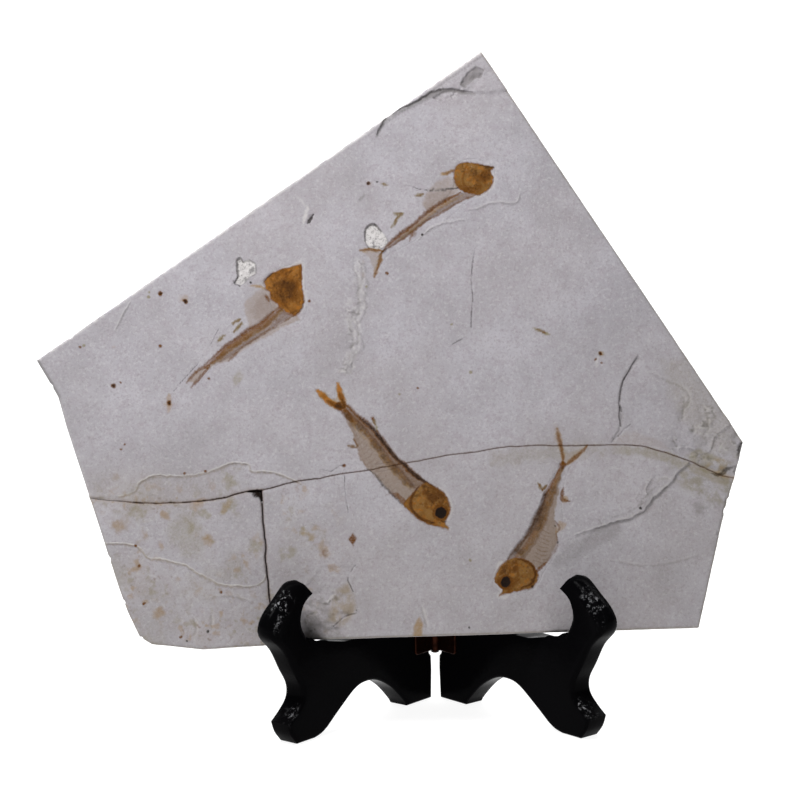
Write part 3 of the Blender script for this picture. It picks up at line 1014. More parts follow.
def paint_right_tip(face):
    """The olive dirt along the break's right end, and the splintered tip."""
    points = face.points
    band = curve([(72, 76), (88, 75), (97, 72), (107.5, 68), (121, 62)])
    frayed = off_line(points, band, 4) + 1.5 * face.blotch
    face.lay("olive", 0.5 * fade((2.6 - frayed) / 1.5) * fade((points[:, 0] - 70) / 10), 0.6)
    face.lay("film", 0.35 * fade((2.8 - frayed) / 1.5) * fade((points[:, 0] - 100) / 10), 0.5)
    face.patch("olive", [(97, 112), (106, 113), (126, 84), (126, 72), (112, 76), (101, 92)], 0.22, 0.5, 4)
    face.mottle("olive", [(104, 73), (110, 76), (118, 72), (124, 70), (122, 63), (112, 66)],
                0.6, 0.55, 1.5)
    face.mottle("ochre", [(112, 68), (117, 72), (121, 71), (122, 65), (118, 64)], 0.5, 0.4)
    face.mottle("olive", [(98, 69), (112, 64), (123, 62), (120, 52), (110, 55), (100, 62)], 0.5, 0.5, 4)
    face.mottle("shade", [(104, 66), (118, 61), (123, 58), (118, 50), (110, 56)], 0.35, 0.45, 4)
    face.stroke("dark", [(115, 65.5), (118.5, 65), (121.5, 67), (124, 68)], 1.0, 0.8, 0.5)
    face.stroke("dark", [(128.4, 78.2), (127, 77), (126, 73.5)], 1.3, 0.85)
    face.patch("film", [(74, 79), (80, 84), (92, 80), (100, 75), (88, 77.5)], 0.35, 0.5, 1.5)


def paint_dirt(face):
    """The flecked dirt of the lower left, and the stained places along the foot."""
    points = face.points
    flecks = rough(points, 3.0, 171, 3)
    dirty = fade((-28 - points[:, 0]) / 40) * fade((72 - points[:, 1]) / 20)
    dirty = dirty * fade(0.7 + 2 * face.cloud)
    face.lay("ochre", 0.6 * dirty * fade((flecks - 0.3) / 0.2), 0.5)
    face.lay("olive", 0.5 * dirty * fade((-0.25 - flecks) / 0.2), 0.5)
    face.lay("rust", 0.5 * dirty * fade((rough(points, 1.6, 173, 2) - 0.62) / 0.08), 0.3)
    face.patch("olive", [(22, 70), (44, 72), (70, 74), (70, 79), (44, 78), (24, 76)], 0.25, 0.5, 4)
    stained = [(-44, 8), (-38, 6), (-33, 11), (-33.5, 17), (-36, 23), (-41, 20)]
    for tint, strength in (("film", 0.25), ("olive", 0.35), ("ochre", 0.25)):
        face.mottle(tint, stained, strength, 0.5, 3)
    face.mottle("shade", [(-56, 0), (-54, 18), (-47, 18), (-40, 7), (-38, 0)], 0.6, 0.5, 2)
    face.mottle("ochre", [(-7, 9), (-5.5, 6), (-6, 0), (-10, 0), (-9, 5)], 0.8, 0.7)


def paint_chips(face):
    """The two large chips, and the small bright and dark marks of the others."""
    for outline, _, _ in CHIPS[:2]:
        paint_chip(face, outline)
    face.stroke("dark", [(-50.4, 174.2), (-48.2, 177.8)], 1.1, 0.95, 0.3)
    face.stroke("pale", [(-52.2, 174.2), (-51.2, 178), (-50.4, 181)], 0.9, 0.8, 0.5)
    face.stroke("pale", [(-55, 186), (-50, 180)], 0.4, 0.5, 0.6)
    face.mottle("shade", CHIPS[4][0], 0.7, 0.5, 0.8)


def paint_breaks(face):
    """Dirt and rust along the two breaks."""
    points = face.points
    left, right, down = all_breaks()
    near = off_line(points, left, 3)
    worn = fade((points[:, 0] + 134) / 12)
    face.lay("film", 0.5 * fade(1.2 - near / 1.3), 0.5)
    face.lay("rust", 0.7 * worn * fade(1.3 - near / 0.4), 0.6)
    face.lay("dark", 0.9 * worn * fade(1.2 - near / 0.25) * fade(0.5 + 3 * face.blotch), 0.3)
    face.lay("dark", 0.9 * fade((points[:, 0] + 96) / 16) * fade(1.2 - near / 0.35), 0.3)
    near = off_line(points, right, 3)
    worn = 1 - fade((points[:, 0] - 112) / 8)
    face.lay("rust", 0.6 * fade(1.3 - near / 0.4), 0.5)
    face.lay("dark", 0.3 * worn * fade(1.2 - near / 0.25), 0.6)
    face.lay("dark", 0.6 * fade((-30 - points[:, 0]) / 25) * fade(1.2 - near / 0.3), 0.4)
    face.lay("ochre", 0.3 * (1 - worn) * fade(1.2 - near / 1.2), 0.5)
    near = off_line(points, down, 2)
    face.lay("rust", 0.5 * fade(1.3 - near / 0.8), 0.6)
    face.lay("dark", 0.95 * fade(1.3 - near / 0.4), 0.1)
    face.spot("dark", -73.0, 60.6, 3.0, 0.9, 0.6)


def paint_outer_edges(face):
    """The light bevels of the slab's outer edges, and the dirt and shade on the others."""
    points = face.points

    def off_edge(line, reach=3):
        return off_line(points, straight(line, 20), reach)

    near = off_edge(TOP_EDGES[3:5])
    speckled = fade(0.8 + 2.5 * rough(points, 1.5, 151, 2))
    face.lay("pale", 0.75 * speckled * fade(1.4 - near / 1.2), 0.3)
    top = fade((points[:, 1] - 200) / 20)
    face.lay("shade", 0.6 * top * fade(1.4 - abs(near - 2.1) / 0.3), 0.4)
    face.lay("pale", 0.25 * fade(1.5 - off_edge(TOP_EDGES[5:])), 0.5)
    for line, strength in ((TOP_EDGES[1:4], 0.5), (BOTTOM_RIGHT_EDGES[1:5], 0.5),
                           (BOTTOM_LEFT_EDGES, 0.35)):
        near = off_edge(line)
        face.lay("olive", strength * fade(1.4 - near / 0.8), 0.6)
        face.lay("shade", strength * fade(1.4 - near / 0.5), 0.6)
    face.lay("shade", 0.9 * fade(1.5 - off_edge(TOP_EDGES[4:6], 4) / 1.3), 0.3)


def painted(points):
    """How strongly each tint lies at each point: the stone first, and the fish on it."""
    face = Face(points)
    for paint in (paint_clouds, paint_right_tip, paint_dirt, paint_chips, paint_pale_streak,
                  paint_ridges, paint_steps, paint_flaked, paint_breaks, paint_outer_edges,
                  paint_specks, paint_top_body, paint_top_head, paint_left_body, paint_left_head,
                  paint_centre_body, paint_centre_tail, paint_centre_head, paint_lower_body,
                  paint_lower_tail, paint_lower_head):
        paint(face)
    return face.tints


def break_line(points):
    """A break's own course: the measured points with a fine waver between them."""
    line = curve(points, OUTLINE_STEP)
    ends = np.minimum(np.arange(len(line)), np.arange(len(line))[::-1])[:, None]
    return line + (waver(line, 0.45, 6, 9) - line) * np.clip(ends / 4, 0, 1)


@functools.cache
def all_breaks():
    """The cross break left and right of where the downward break meets it, and that one."""
    return (break_line(CROSS_BREAK[:JUNCTION + 1]), break_line(CROSS_BREAK[JUNCTION:]),
            break_line(DOWN_BREAK))


def slab_outlines():
    """The outlines of the three pieces of the slab, counter-clockwise."""
    left, right, down = all_breaks()
    corner = straight([tuple(down[8])] + LOST_CORNER + [tuple(left[-11])], OUTLINE_STEP)
    return {
        "slab_upper": np.vstack((left[:-1], right[:-1], straight(TOP_EDGES, OUTLINE_STEP)[:-1])),
        "slab_lower_left": np.vstack((straight(BOTTOM_LEFT_EDGES, OUTLINE_STEP)[:-1], down[:8:-1],
                                      corner[:-1], left[-11:0:-1])),
        "slab_lower_right": np.vstack((straight(BOTTOM_RIGHT_EDGES, OUTLINE_STEP)[:-1],
                                       right[:0:-1], down[:-1])),
    }


def off_breaks(points, reach):
    """Each point's distance to the nearest break, up to a reach."""
    return np.min([off_line(points, line, reach) for line in all_breaks()], axis=0)


def bites(outline):
    """How far each point of a slab piece's outline is bitten in: more on its broken edges."""
    outer = off_breaks(outline, 6) / 6
    fine = 0.5 + 0.5 * rough(outline, 3.0, 101, 3)
    notch = np.zeros(len(outline))
    for x, y, reach in NOTCHES:
        notch += fade(1.2 - off_place(outline, x, y) / reach)
    return outer * (EDGE_BITE * fine + NOTCH_BITE * notch * (0.6 + fine))


def near_detail(points):
    """Whether each point lies on a line, spot or chip that is drawn finely."""
    found = np.zeros(len(points), bool)
    lines = [line for line, _, _ in WELTS] + [line for line, _ in HAIRLINES] + LIPS
    lines += [outline + outline[:1] for outline, _, _ in CHIPS] + [TERRACES[0][0][:9]]
    for line in lines:
        found |= off_line(points, curve(line), 1.1) < 1.0
    for line in all_breaks():
        found |= off_line(points, line, 1.1) < 0.9
    for outline, _, _ in CHIPS[:2]:
        found |= depth_inside(points, outline, 1) > 0
    for _, _, places in SPOTS:
        for x, y, size in places:
            found |= off_place(points, x, y) < size / 2 + 0.9
    return found


def hexagonal(outline, spacing, margin):
    """Loose points at a spacing inside an outline, off the rows by a little."""
    low, high = outline.min(0), outline.max(0)
    rows = np.arange(low[1], high[1], spacing * 0.866)
    columns = np.arange(low[0], high[0], spacing)
    x, y = np.meshgrid(columns, rows)
    x = x + spacing / 2 * (np.arange(len(rows)) % 2)[:, None]
    points = np.column_stack((x.ravel(), y.ravel()))
    points = warped(points, spacing * 0.3, spacing * 2.5, 111)
    return points[depth_inside(points, outline, margin * 1.01) > margin]


def face_points(outline, spacing, detailed):
    """The loose points of a face, twice as close along its fine lines and spots."""
    points = hexagonal(outline, spacing, spacing * 0.55)
    if not detailed:
        return points
    fine = hexagonal(outline, spacing / 2, spacing * 0.4)
    return np.vstack((points[~near_detail(points)], fine[near_detail(fine)]))


def triangulate(outline, points):
    """All the points, those of the outline first, and the triangles that fill the outline."""
    flat = np.vstack((outline, points))
    edges = [(k, (k + 1) % len(outline)) for k in range(len(outline))]
    verts, _, faces, _, _, _ = delaunay_2d_cdt([Vector(p) for p in flat], edges, [], 1, 1e-6)
    return np.array([tuple(v) for v in verts]), faces


def to_part(across, up, out):
    """From the slab's own plane to the model's frame, in metres."""
    y = SLAB_FRONT_Y + up * math.sin(SLAB_LEAN) - out * math.cos(SLAB_LEAN)
    z = SLAB_FRONT_Z + up * math.cos(SLAB_LEAN) + out * math.sin(SLAB_LEAN)
    return np.column_stack((across + HINGE_X, y + HINGE_Y, z)) * TO_METRES


def add_mesh(name, verts, faces, attributes=None):
    """A new object from points and faces, with named numbers for each point."""
    mesh = bpy.data.meshes.new(name)
    mesh.from_pydata([tuple(v) for v in verts], [], faces)
    for key, values in (attributes or {}).items():
        layer = mesh.attributes.new(key, 'FLOAT', 'POINT')
        layer.data.foreach_set("value", np.asarray(values, np.float32))
    mesh.validate()
    made = bpy.data.objects.new(name, mesh)
    bpy.context.scene.collection.objects.link(made)
    return made


def shade(made, angle):
    """Smooth shading, but for edges sharper than an angle in degrees."""
    made.data.shade_smooth()
    made.data.set_sharp_from_angle(angle=math.radians(angle))


def ring_faces(low, high, count):
    """The faces between two closed rings of points, given by the number each ring starts with."""
    return [(low + k, low + (k + 1) % count, high + (k + 1) % count, high + k) for k in range(count)]


def stone_body(name, outline, spacing, front, back, walls, detailed=False):
    """A closed body between a front and a back over an outline, with its tints.

    The walls are given as rings from front to back: how deep each lies, from 0 to 1, and how
    far each of its points is drawn in.
    """
    rim_front = moved_in(outline, walls[0][1])
    rim_back = moved_in(outline, walls[-1][1])
    flat, faces = triangulate(rim_front, face_points(rim_front, spacing, detailed))
    flat_back, faces_back = triangulate(rim_back, hexagonal(rim_back, BACK_SPACING, 1.2))
    count = len(outline)
    front_out = front(flat)
    back_out = back(flat_back)
    rings = []
    for depth, inset in walls[1:-1]:
        ring = moved_in(outline, inset)
        out = front_out[:count] * (1 - depth) + back_out[:count] * depth
        rings.append(np.column_stack((ring, out)))
    all_points = np.vstack([np.column_stack((flat, front_out))] + rings
                           + [np.column_stack((flat_back, back_out))])
    starts = [0] + [len(flat) + count * k for k in range(len(rings) + 1)]
    for low, high in zip(starts, starts[1:]):
        faces += ring_faces(high, low, count)
    faces += [[starts[-1] + k for k in reversed(face)] for face in faces_back]
    hidden = all_points[len(flat):]
    tints = {tint: np.append(amount, np.zeros(len(hidden))) for tint, amount in painted(flat).items()}
    tints["wall"] = np.append(np.zeros(len(flat)), np.ones(len(hidden)))
    tints["dark"][len(flat):] = break_dirt(hidden)
    made = add_mesh(name, to_part(*all_points.T), faces, tints)
    shade(made, 60)
    return made


def break_dirt(points):
    """Dirt down in the breaks, deepest where the corner is gone."""
    near = off_breaks(points[:, :2], 3)
    off = off_place(points, *LOST_CORNER[1])
    covered = points[:, 2] > 0.9 - SLAB_THICKNESS
    return np.maximum(0.85 * fade(1.6 - near), fade(3 - off / 2.5)) * covered


def slab_front(outline):
    """The front face of one slab piece: the relief, worn at the edges and lowered under fish."""
    beds = [fish_outline(fish) for fish in FISH.values()]

    def front(points):
        height = relief(points)
        edge = depth_inside(points, outline, 3)
        worn = off_breaks(points, 3) / 3
        worn = np.maximum(worn, 0.6 * fade((-60 - points[:, 0]) / 10))
        height -= worn * (0.35 * fade(1 - edge) + 0.2 * fade(rough(points, 4, 121, 3) - edge / 2))
        height -= 0.06 * fade(1 - edge / 0.6)
        for bed in beds:
            height -= FISH_BED * fade(depth_inside(points, bed, 1) * 2.2)
        return height
    return front


def slab_piece(name, outline):
    """One of the slab's three pieces, drawn back from the breaks and nibbled at its outer edges."""
    gap = np.full(len(outline), DRAWN_BACK[name])
    if name == "slab_lower_left":
        near_down = off_line(outline, all_breaks()[2], 3)
        gap = np.maximum(gap, DOWN_BREAK_GAP * fade(1.5 - near_down))
    outline = moved_in(outline, gap + bites(outline))
    outer = bites(outline) > 0.02
    walls = [(0.0, np.where(outer, 0.18, 0.03))]
    stump = np.zeros(len(outline))
    if name == "slab_lower_left":
        off = off_place(outline, *LOST_CORNER[1])
        stump = STUMP_LENGTH * fade(1.2 - off / 4.2)
    for number, depth in enumerate(WALL_LAYERS):
        step = 0.28 * (0.5 + 0.5 * rough(outline + 40 * number, 14, 131, 3))
        walls.append((depth, np.where(outer, step, 0.03 - gap) - stump * fade(depth * 3)))
    walls.append((1.0, np.where(outer, 0.45, 0.1)))
    made = stone_body(f"{name}_stone", outline, SLAB_SPACING[name], slab_front(outline), back_relief,
                      walls, detailed=True)
    finish_piece(made, stone(), name, LEFT_BODY)


def fish_outline(fish):
    """A fish's outline, counter-clockwise."""
    outline = np.vstack([run[:-1] for run in closed_runs(fish["runs"], 0.45)])
    ahead = np.roll(outline, -1, axis=0)
    area = (outline[:, 0] * ahead[:, 1] - ahead[:, 0] * outline[:, 1]).sum()
    return outline if area > 0 else outline[::-1]


def fish_piece(name, fish):
    """The fish itself: a thin plate whose rim sinks just below the face around it."""
    outline = fish_outline(fish)

    def front(points):
        return relief(points) - 0.08 * fade(1 - depth_inside(points, outline, 1) / 0.4)

    def back(points):
        return relief(points) - 0.42

    made = stone_body(f"{name}_fossil", outline, FISH_SPACING, front, back,
                      [(0.0, 0.0), (0.5, 0.03), (1.0, 0.08)])
    finish_piece(made, stone(), name, LEFT_BODY)


def turned(profile, sides):
    """Points and faces of a closed turned body about the Z axis, from axis to axis."""
    verts, faces, loops = [], [], []
    for radius, height in profile:
        count = sides if radius else 1
        angles = 2 * math.pi * np.arange(count) / count
        loops.append(range(len(verts), len(verts) + count))
        verts += [(radius * math.cos(a), radius * math.sin(a), height) for a in angles]
    for low, high in zip(loops, loops[1:]):
        for k in range(sides):
            corners = [low[k % len(low)], low[(k + 1) % sides % len(low)],
                       high[(k + 1) % sides % len(high)], high[k % len(high)]]
            faces.append(list(dict.fromkeys(corners)))
    return verts, faces


def join_shapes(shapes):
    """Several sets of points and faces as one."""
    verts, faces = [], []
    for more_verts, more_faces in shapes:
        first = len(verts)
        verts += [tuple(v) for v in more_verts]
        faces += [[first + k for k in face] for face in more_faces]
    return verts, faces


def on_stand(made, side=0):
    """Put a piece modelled about the hinge line in its place, turned with its wing."""
    turn = Matrix.Rotation(math.radians(-90) + side * WING_ANGLE, 4, 'Z') if side else Matrix()
    place = Matrix.Translation((HINGE_X, HINGE_Y, 0)) @ turn
    made.data.transform(Matrix.Scale(TO_METRES, 4) @ place)
    builder = bmesh.new()
    builder.from_mesh(made.data)
    bmesh.ops.recalc_face_normals(builder, faces=builder.faces)
    builder.to_mesh(made.data)
    builder.free()
    return made


def soft_box(across, height, box, soft):
    """1 inside a box, 0 outside; its left, right, low and high side each fade over a length."""
    left, right, low, high = box
    return (fade((across - left) / soft[0]) * fade((right - across) / soft[1])
            * fade((height - low) / soft[2]) * fade((high - height) / soft[3]))


def at_hook(outline):
    """1 on a wing's hook, 0 elsewhere, with a soft change."""
    return fade((outline[:, 0] - HOOK_FROM[0]) / 8) * fade((outline[:, 1] - HOOK_FROM[1]) / 10)


def corner_cut(before, run):
    """How much shorter a run gets at its start for each millimetre that the profile is drawn in."""
    arriving, leaving = before[-1] - before[-2], run[1] - run[0]
    turn = math.atan2(arriving[0] * leaving[1] - arriving[1] * leaving[0], arriving @ leaving)
    return max(0.0, math.tan(turn / 2))


def drawn_in_profile(inset):
    """A wing's profile drawn in by an amount for each of its points; the corners stay corners."""
    runs = closed_runs(WING_PROFILE, BOARD_STEP)
    ring = []
    start = 0
    for before, run, after in zip(runs[-1:] + runs[:-1], runs, runs[1:] + runs[:1]):
        along = np.append(0, np.cumsum(np.linalg.norm(np.diff(run, axis=0), axis=1)))
        amount = inset[start:start + len(run) - 1]
        low = amount[0] * corner_cut(before, run)
        high = amount[-1] * corner_cut(run, after)
        place = low + along[:-1] * (1 - (low + high) / along[-1])
        ahead = np.gradient(run, axis=0)
        normal = np.column_stack((-ahead[:, 1], ahead[:, 0])) / np.linalg.norm(ahead, axis=1)[:, None]
        on_run = np.column_stack([np.interp(place, along, values) for values in run.T])
        inwards = np.column_stack([np.interp(place, along, values) for values in normal.T])
        ring.append(on_run + amount[:, None] * inwards)
        start += len(run) - 1
    return np.vstack(ring)


def board_rings(outline):
    """Rings over a board's rounded edge: how far in the points of each lie, and how deep.

    The feet and the seat are crisp, and the hook is rounded most and a little crowned.
    """
    from_tip = np.linalg.norm(outline - HOOK_TIP, axis=1)
    hook = at_hook(outline)
    across, height = outline.T
    radius = BOARD_ROUND * (0.6 + 0.4 * fade((height - 12) / 10))
    radius += (HOOK_ROUND - BOARD_ROUND) * hook
    radius = np.minimum(radius, 0.7 + 0.2 * from_tip)
    radius *= 1 - 0.8 * soft_box(across, height, CRISP_SEAT, (4, 3, 3, 3))
    bulge = HOOK_CROWN * hook * fade((across + 0.6 * height - 113) / 6)
    rings = []
    for angle in np.radians(np.linspace(0, 90, 8)):
        inset, depth = radius * (1 - math.sin(angle)), radius * (1 - math.cos(angle))
        rings.append((inset - bulge * np.sin(np.pi * depth / BOARD), depth))
    middle = (-bulge, np.full(len(outline), BOARD / 2))
    return rings + [middle] + [(inset, BOARD - depth) for inset, depth in reversed(rings)]


def seat_lift(ring, depth):
    """The seat slopes with the slab's underside, and its near edge hides the slab's lower rim."""
    across, height = ring.T
    ahead = across * math.cos(WING_ANGLE) - (BOARD_OFFSET + depth) * math.sin(WING_ANGLE)
    under = (np.minimum(ahead, -SLAB_FRONT_Y) + SLAB_FRONT_Y) * math.tan(SLAB_LEAN)
    under += SLAB_FRONT_Z - SEAT_GAP + SEAT_LIP * fade((ahead + SLAB_FRONT_Y + 0.2) / 1.2)
    seat = soft_box(across, height, RAISED_SEAT, (4, 2, 3, 3))
    return np.column_stack((across, height + seat * np.clip(under - SEAT_HEIGHT, 0, SEAT_RISE)))


def wing_shape(side):
    """A wing's board with its edges rounded over, and how worn each of its points is."""
    outline = np.vstack([run[:-1] for run in closed_runs(WING_PROFILE, BOARD_STEP)])
    count = len(outline)
    layers = board_rings(outline)
    rings, depths = [], []
    for inset, depth in layers:
        rings.append(seat_lift(drawn_in_profile(inset), depth))
        depths.append(depth)
    faces = []
    for low in range(0, count * (len(rings) - 1), count):
        faces += ring_faces(low, low + count, count)
    flat = np.vstack(rings)
    depth = np.concatenate(depths)
    for ring in (0, len(rings) - 1):
        rim = drawn_in_profile(layers[ring][0])
        filled, inner = triangulate(rim, hexagonal(rim, 3.0, 1.2))
        start = len(flat) - count
        faces += [[ring * count + k if k < count else start + k for k in face] for face in inner]
        flat = np.vstack((flat, filled[count:]))
        depth = np.append(depth, np.full(len(filled) - count, depths[ring][0]))
    verts = np.column_stack((flat[:, 0], side * (BOARD_OFFSET + depth), flat[:, 1]))
    return verts, faces, worn_places(flat, depth)


def worn_places(flat, depth):
    """The near rounded edges of the hook and the toe, where the lacquer is scuffed."""
    near = fade(depth / 0.7) * fade((6 - depth) / 3)
    hook = soft_box(flat[:, 0], flat[:, 1], WORN_HOOK, (3, 3, 3, 3))
    toe = fade((flat[:, 0] - WORN_TOE[0]) / 2) * fade(1.5 - abs(flat[:, 1] - WORN_TOE[1]) / 3)
    return near * np.maximum(hook, 0.8 * toe)


def build_wing(side, word, body):
    """One wing of the stand; side is -1 for the left one and 1 for the right one."""
    verts, faces, worn = wing_shape(side)
    wing = on_stand(add_mesh(f"wing_{word}_board", verts, faces, {"worn": worn}), side)
    shade(wing, 50)
    finish_piece(wing, lacquer(), f"wing_{word}", body)


def leaf_shape(side):
    """A hinge leaf: a plate with softened edges, and its knuckles round the pin."""
    outline = np.array([(LEAF_NEAR, HINGE_LOW), (LEAF_FAR - 1, HINGE_LOW),
                        (LEAF_FAR, HINGE_LOW + 1), (LEAF_FAR, HINGE_HIGH - 1),
                        (LEAF_FAR - 1, HINGE_HIGH), (LEAF_NEAR, HINGE_HIGH)], float)
    verts, faces = [], []
    for inset, depth in ((LEAF_EDGE, LEAF_FRONT), (0, LEAF_FRONT + LEAF_EDGE), (0, LEAF_BACK)):
        verts += [(x, side * depth, z) for x, z in moved_in(outline, inset)]
    count = len(outline)
    for low in (0, count):
        faces += ring_faces(low, low + count, count)
    faces += [list(range(count)), list(range(2 * count, 3 * count))]
    shapes = [(verts, faces)]
    third = (HINGE_HIGH - HINGE_LOW - 2 * KNUCKLE_GAP) / 3
    for k in ((0, 2) if side < 0 else (1,)):
        low = HINGE_LOW + k * (third + KNUCKLE_GAP)
        shapes.append(turned([(PIN_RADIUS, low + 0.1), (BARREL_RADIUS - 0.3, low),
                              (BARREL_RADIUS, low + 0.3), (BARREL_RADIUS, low + third - 0.3),
                              (BARREL_RADIUS - 0.3, low + third), (PIN_RADIUS, low + third - 0.1),
                              (PIN_RADIUS, low + 0.1)], 32))
    return join_shapes(shapes)


def screw_shape(side, height):
    """A countersunk screw's head: two halves of a disc with a straight slot between them."""
    def placed(x, depth, z):
        return SCREW_FROM_AXIS + x, side * (SCREW_FACE + depth), height + z

    count = 17
    limit = math.asin(SCREW_HALF_SLOT / SCREW_HEAD_RADIUS)
    angles = np.linspace(limit, math.pi - limit, count)
    faces = [list(range(count)), list(range(2 * count, 3 * count))]
    for low in (0, count):
        faces += ring_faces(low, low + count, count)
    halves = []
    for way in (-1, 1):
        verts = []
        for size, depth in ((0.93, 0.05), (1.0, 0.2), (0.55, 0.95)):
            radius = size * SCREW_HEAD_RADIUS
            verts += [placed(radius * math.cos(a), depth,
                             way * max(radius * math.sin(a), SCREW_HALF_SLOT)) for a in angles]
        halves.append((verts, faces))
    floor = [placed(x * SCREW_HEAD_RADIUS * 0.9, depth, z * SCREW_HALF_SLOT)
             for depth in (0.5, 0.9) for x, z in ((-1, -1), (1, -1), (1, 1), (-1, 1))]
    return join_shapes(halves + [(floor, [(0, 1, 2, 3), (4, 5, 6, 7)] + ring_faces(0, 4, 4))])


def brass_piece(name, shape, body, side=0):
    """A part of the hinge, from its points and faces."""
    made = on_stand(add_mesh(f"{name}_brass", *shape), side)
    shade(made, 40)
    finish_piece(made, brass(), name, body)


def build_hinge():
    """The two leaves with their screws, and the pin with its round heads."""
    for side, word, body in ((-1, "left", LEFT_BODY), (1, "right", RIGHT_BODY)):
        brass_piece(f"hinge_leaf_{word}", leaf_shape(side), body, side)
        for place, height in SCREW_HEIGHTS.items():
            brass_piece(f"screw_{word}_{place}", screw_shape(side, height), body, side)
    low = HINGE_LOW - KNUCKLE_GAP
    high = HINGE_HIGH + KNUCKLE_GAP
    crown = [(0, 0.8), (1.0, 0.75), (1.5, 0.5), (PIN_HEAD_RADIUS, 0.25), (PIN_HEAD_RADIUS, 0)]
    profile = ([(r, low - h) for r, h in crown] + [(PIN_RADIUS, low), (PIN_RADIUS, high)]
               + [(r, high + h) for r, h in reversed(crown)])
    brass_piece("hinge_pin", turned(profile, 32), LEFT_BODY)


class Recipe:
    """A node material, with short ways to add and join its nodes."""

    def __init__(self, name):
        self.material = bpy.data.materials.new(name)
        self.material.use_nodes = True
        self.tree = self.material.node_tree
        self.shader = self.tree.nodes["Principled BSDF"]
        self.place = self.add("ShaderNodeTexCoord").outputs["Object"]

    def add(self, kind, feeds=None, **settings):
        """A new node with its settings made and its inputs fed."""
        node = self.tree.nodes.new(kind)
        for key, value in settings.items():
            setattr(node, key, value)
        for key, value in (feeds or {}).items():
            self.feed(node.inputs[key], value)
        return node

    def feed(self, socket, value):
        """Set a socket to a number or colour, or join another socket to it."""
        if isinstance(value, bpy.types.NodeSocket):
            self.tree.links.new(value, socket)
        elif isinstance(value, tuple):
            socket.default_value = (*value, 1)[:len(socket.default_value)]
        else:
            socket.default_value = value

    def noise(self, length, detail=4.0, roughness=0.55, distortion=0.0):
        """Noise from 0 to 1 with features about as long as given, in millimetres."""
        feeds = {"Vector": self.place, "Scale": 1000 / length, "Detail": detail,
                 "Roughness": roughness, "Distortion": distortion}
        return self.add("ShaderNodeTexNoise", feeds).outputs["Fac"]

    def combine(self, operation, first, second):
        """Two numbers taken together."""
        return self.add("ShaderNodeMath", {0: first, 1: second}, operation=operation).outputs[0]

    def spread(self, value, low, high, new_low=0.0, new_high=1.0):
        """A value stretched from its own low and high to new ones."""
        feeds = dict(enumerate((value, low, high, new_low, new_high)))
        return self.add("ShaderNodeMapRange", feeds).outputs[0]

    def mix(self, amount, first, second):
        """Two colours mixed.  The node has other sockets of the same name, so kind finds them."""
        node = self.add("ShaderNodeMix", {0: amount}, data_type='RGBA')
        colours = [socket for socket in node.inputs if socket.type == 'RGBA']
        self.feed(colours[0], first)
        self.feed(colours[1], second)
        return [socket for socket in node.outputs if socket.type == 'RGBA'][0]

    def mask(self, name):
        """The numbers stored at the points under a name."""
        return self.add("ShaderNodeAttribute", attribute_name=name).outputs["Fac"]

    def bump(self, heights):
        """Fine bumps one on another: each a height field, and how deep it is in millimetres."""
        feeds = {"Strength": 1.0}
        for height, depth in heights:
            feeds |= {"Distance": depth * TO_METRES, "Height": height}
            feeds["Normal"] = self.add("ShaderNodeBump", feeds).outputs["Normal"]
        self.feed(self.shader.inputs["Normal"], feeds["Normal"])

    def finish(self, colour, roughness, metallic=0.0, specular=0.5):
        for key, value in (("Base Color", colour), ("Roughness", roughness), ("Metallic", metallic),
                           ("Specular IOR Level", specular)):
            self.feed(self.shader.inputs[key], value)
        return self.material


@functools.cache
def stone():
    """Pale shale with the fish's tints on it, and bedding layers on its broken sides."""
    recipe = Recipe("shale_and_fossil")
    cloud = recipe.spread(recipe.noise(18, 5, 0.6), 0.3, 0.7)
    colour = recipe.mix(cloud, STONE_DARK, STONE_LIGHT)
    mauve = recipe.spread(recipe.noise(4, 4, 0.65), 0.48, 0.7, 0, 0.45)
    colour = recipe.mix(mauve, colour, (0.33, 0.29, 0.32))
    speck = recipe.spread(recipe.noise(1.0, 3, 0.7), 0.5, 0.70, 0, 0.6)
    colour = recipe.mix(speck, colour, (0.28, 0.26, 0.27))
    fleck = recipe.spread(recipe.noise(1.3, 3, 0.7), 0.48, 0.3, 0, 0.5)
    colour = recipe.mix(fleck, colour, (0.54, 0.52, 0.54))
    layers = recipe.spread(recipe.noise(5, 6, 0.7, 0.6), 0.35, 0.65)
    side_colour = recipe.mix(layers, (0.22, 0.20, 0.195), (0.42, 0.39, 0.38))
    colour = recipe.mix(recipe.combine('MULTIPLY', recipe.mask("wall"), 0.75), colour, side_colour)
    uneven = recipe.spread(recipe.noise(0.7, 3, 0.7), 0.25, 0.75, 0.82, 1.35)
    for tint, tint_colour in TINTS.items():
        amount = recipe.combine('MULTIPLY', recipe.mask(tint), uneven)
        colour = recipe.mix(amount, colour, tint_colour)
    bone = recipe.combine('MAXIMUM', recipe.mask("rust"), recipe.mask("dark"))
    recipe.bump([(recipe.noise(3.5, 5, 0.65), 0.30), (recipe.noise(1.1, 4, 0.65), 0.12)])
    return recipe.finish(colour, recipe.spread(bone, 0, 1, 0.92, 0.7), specular=0.08)


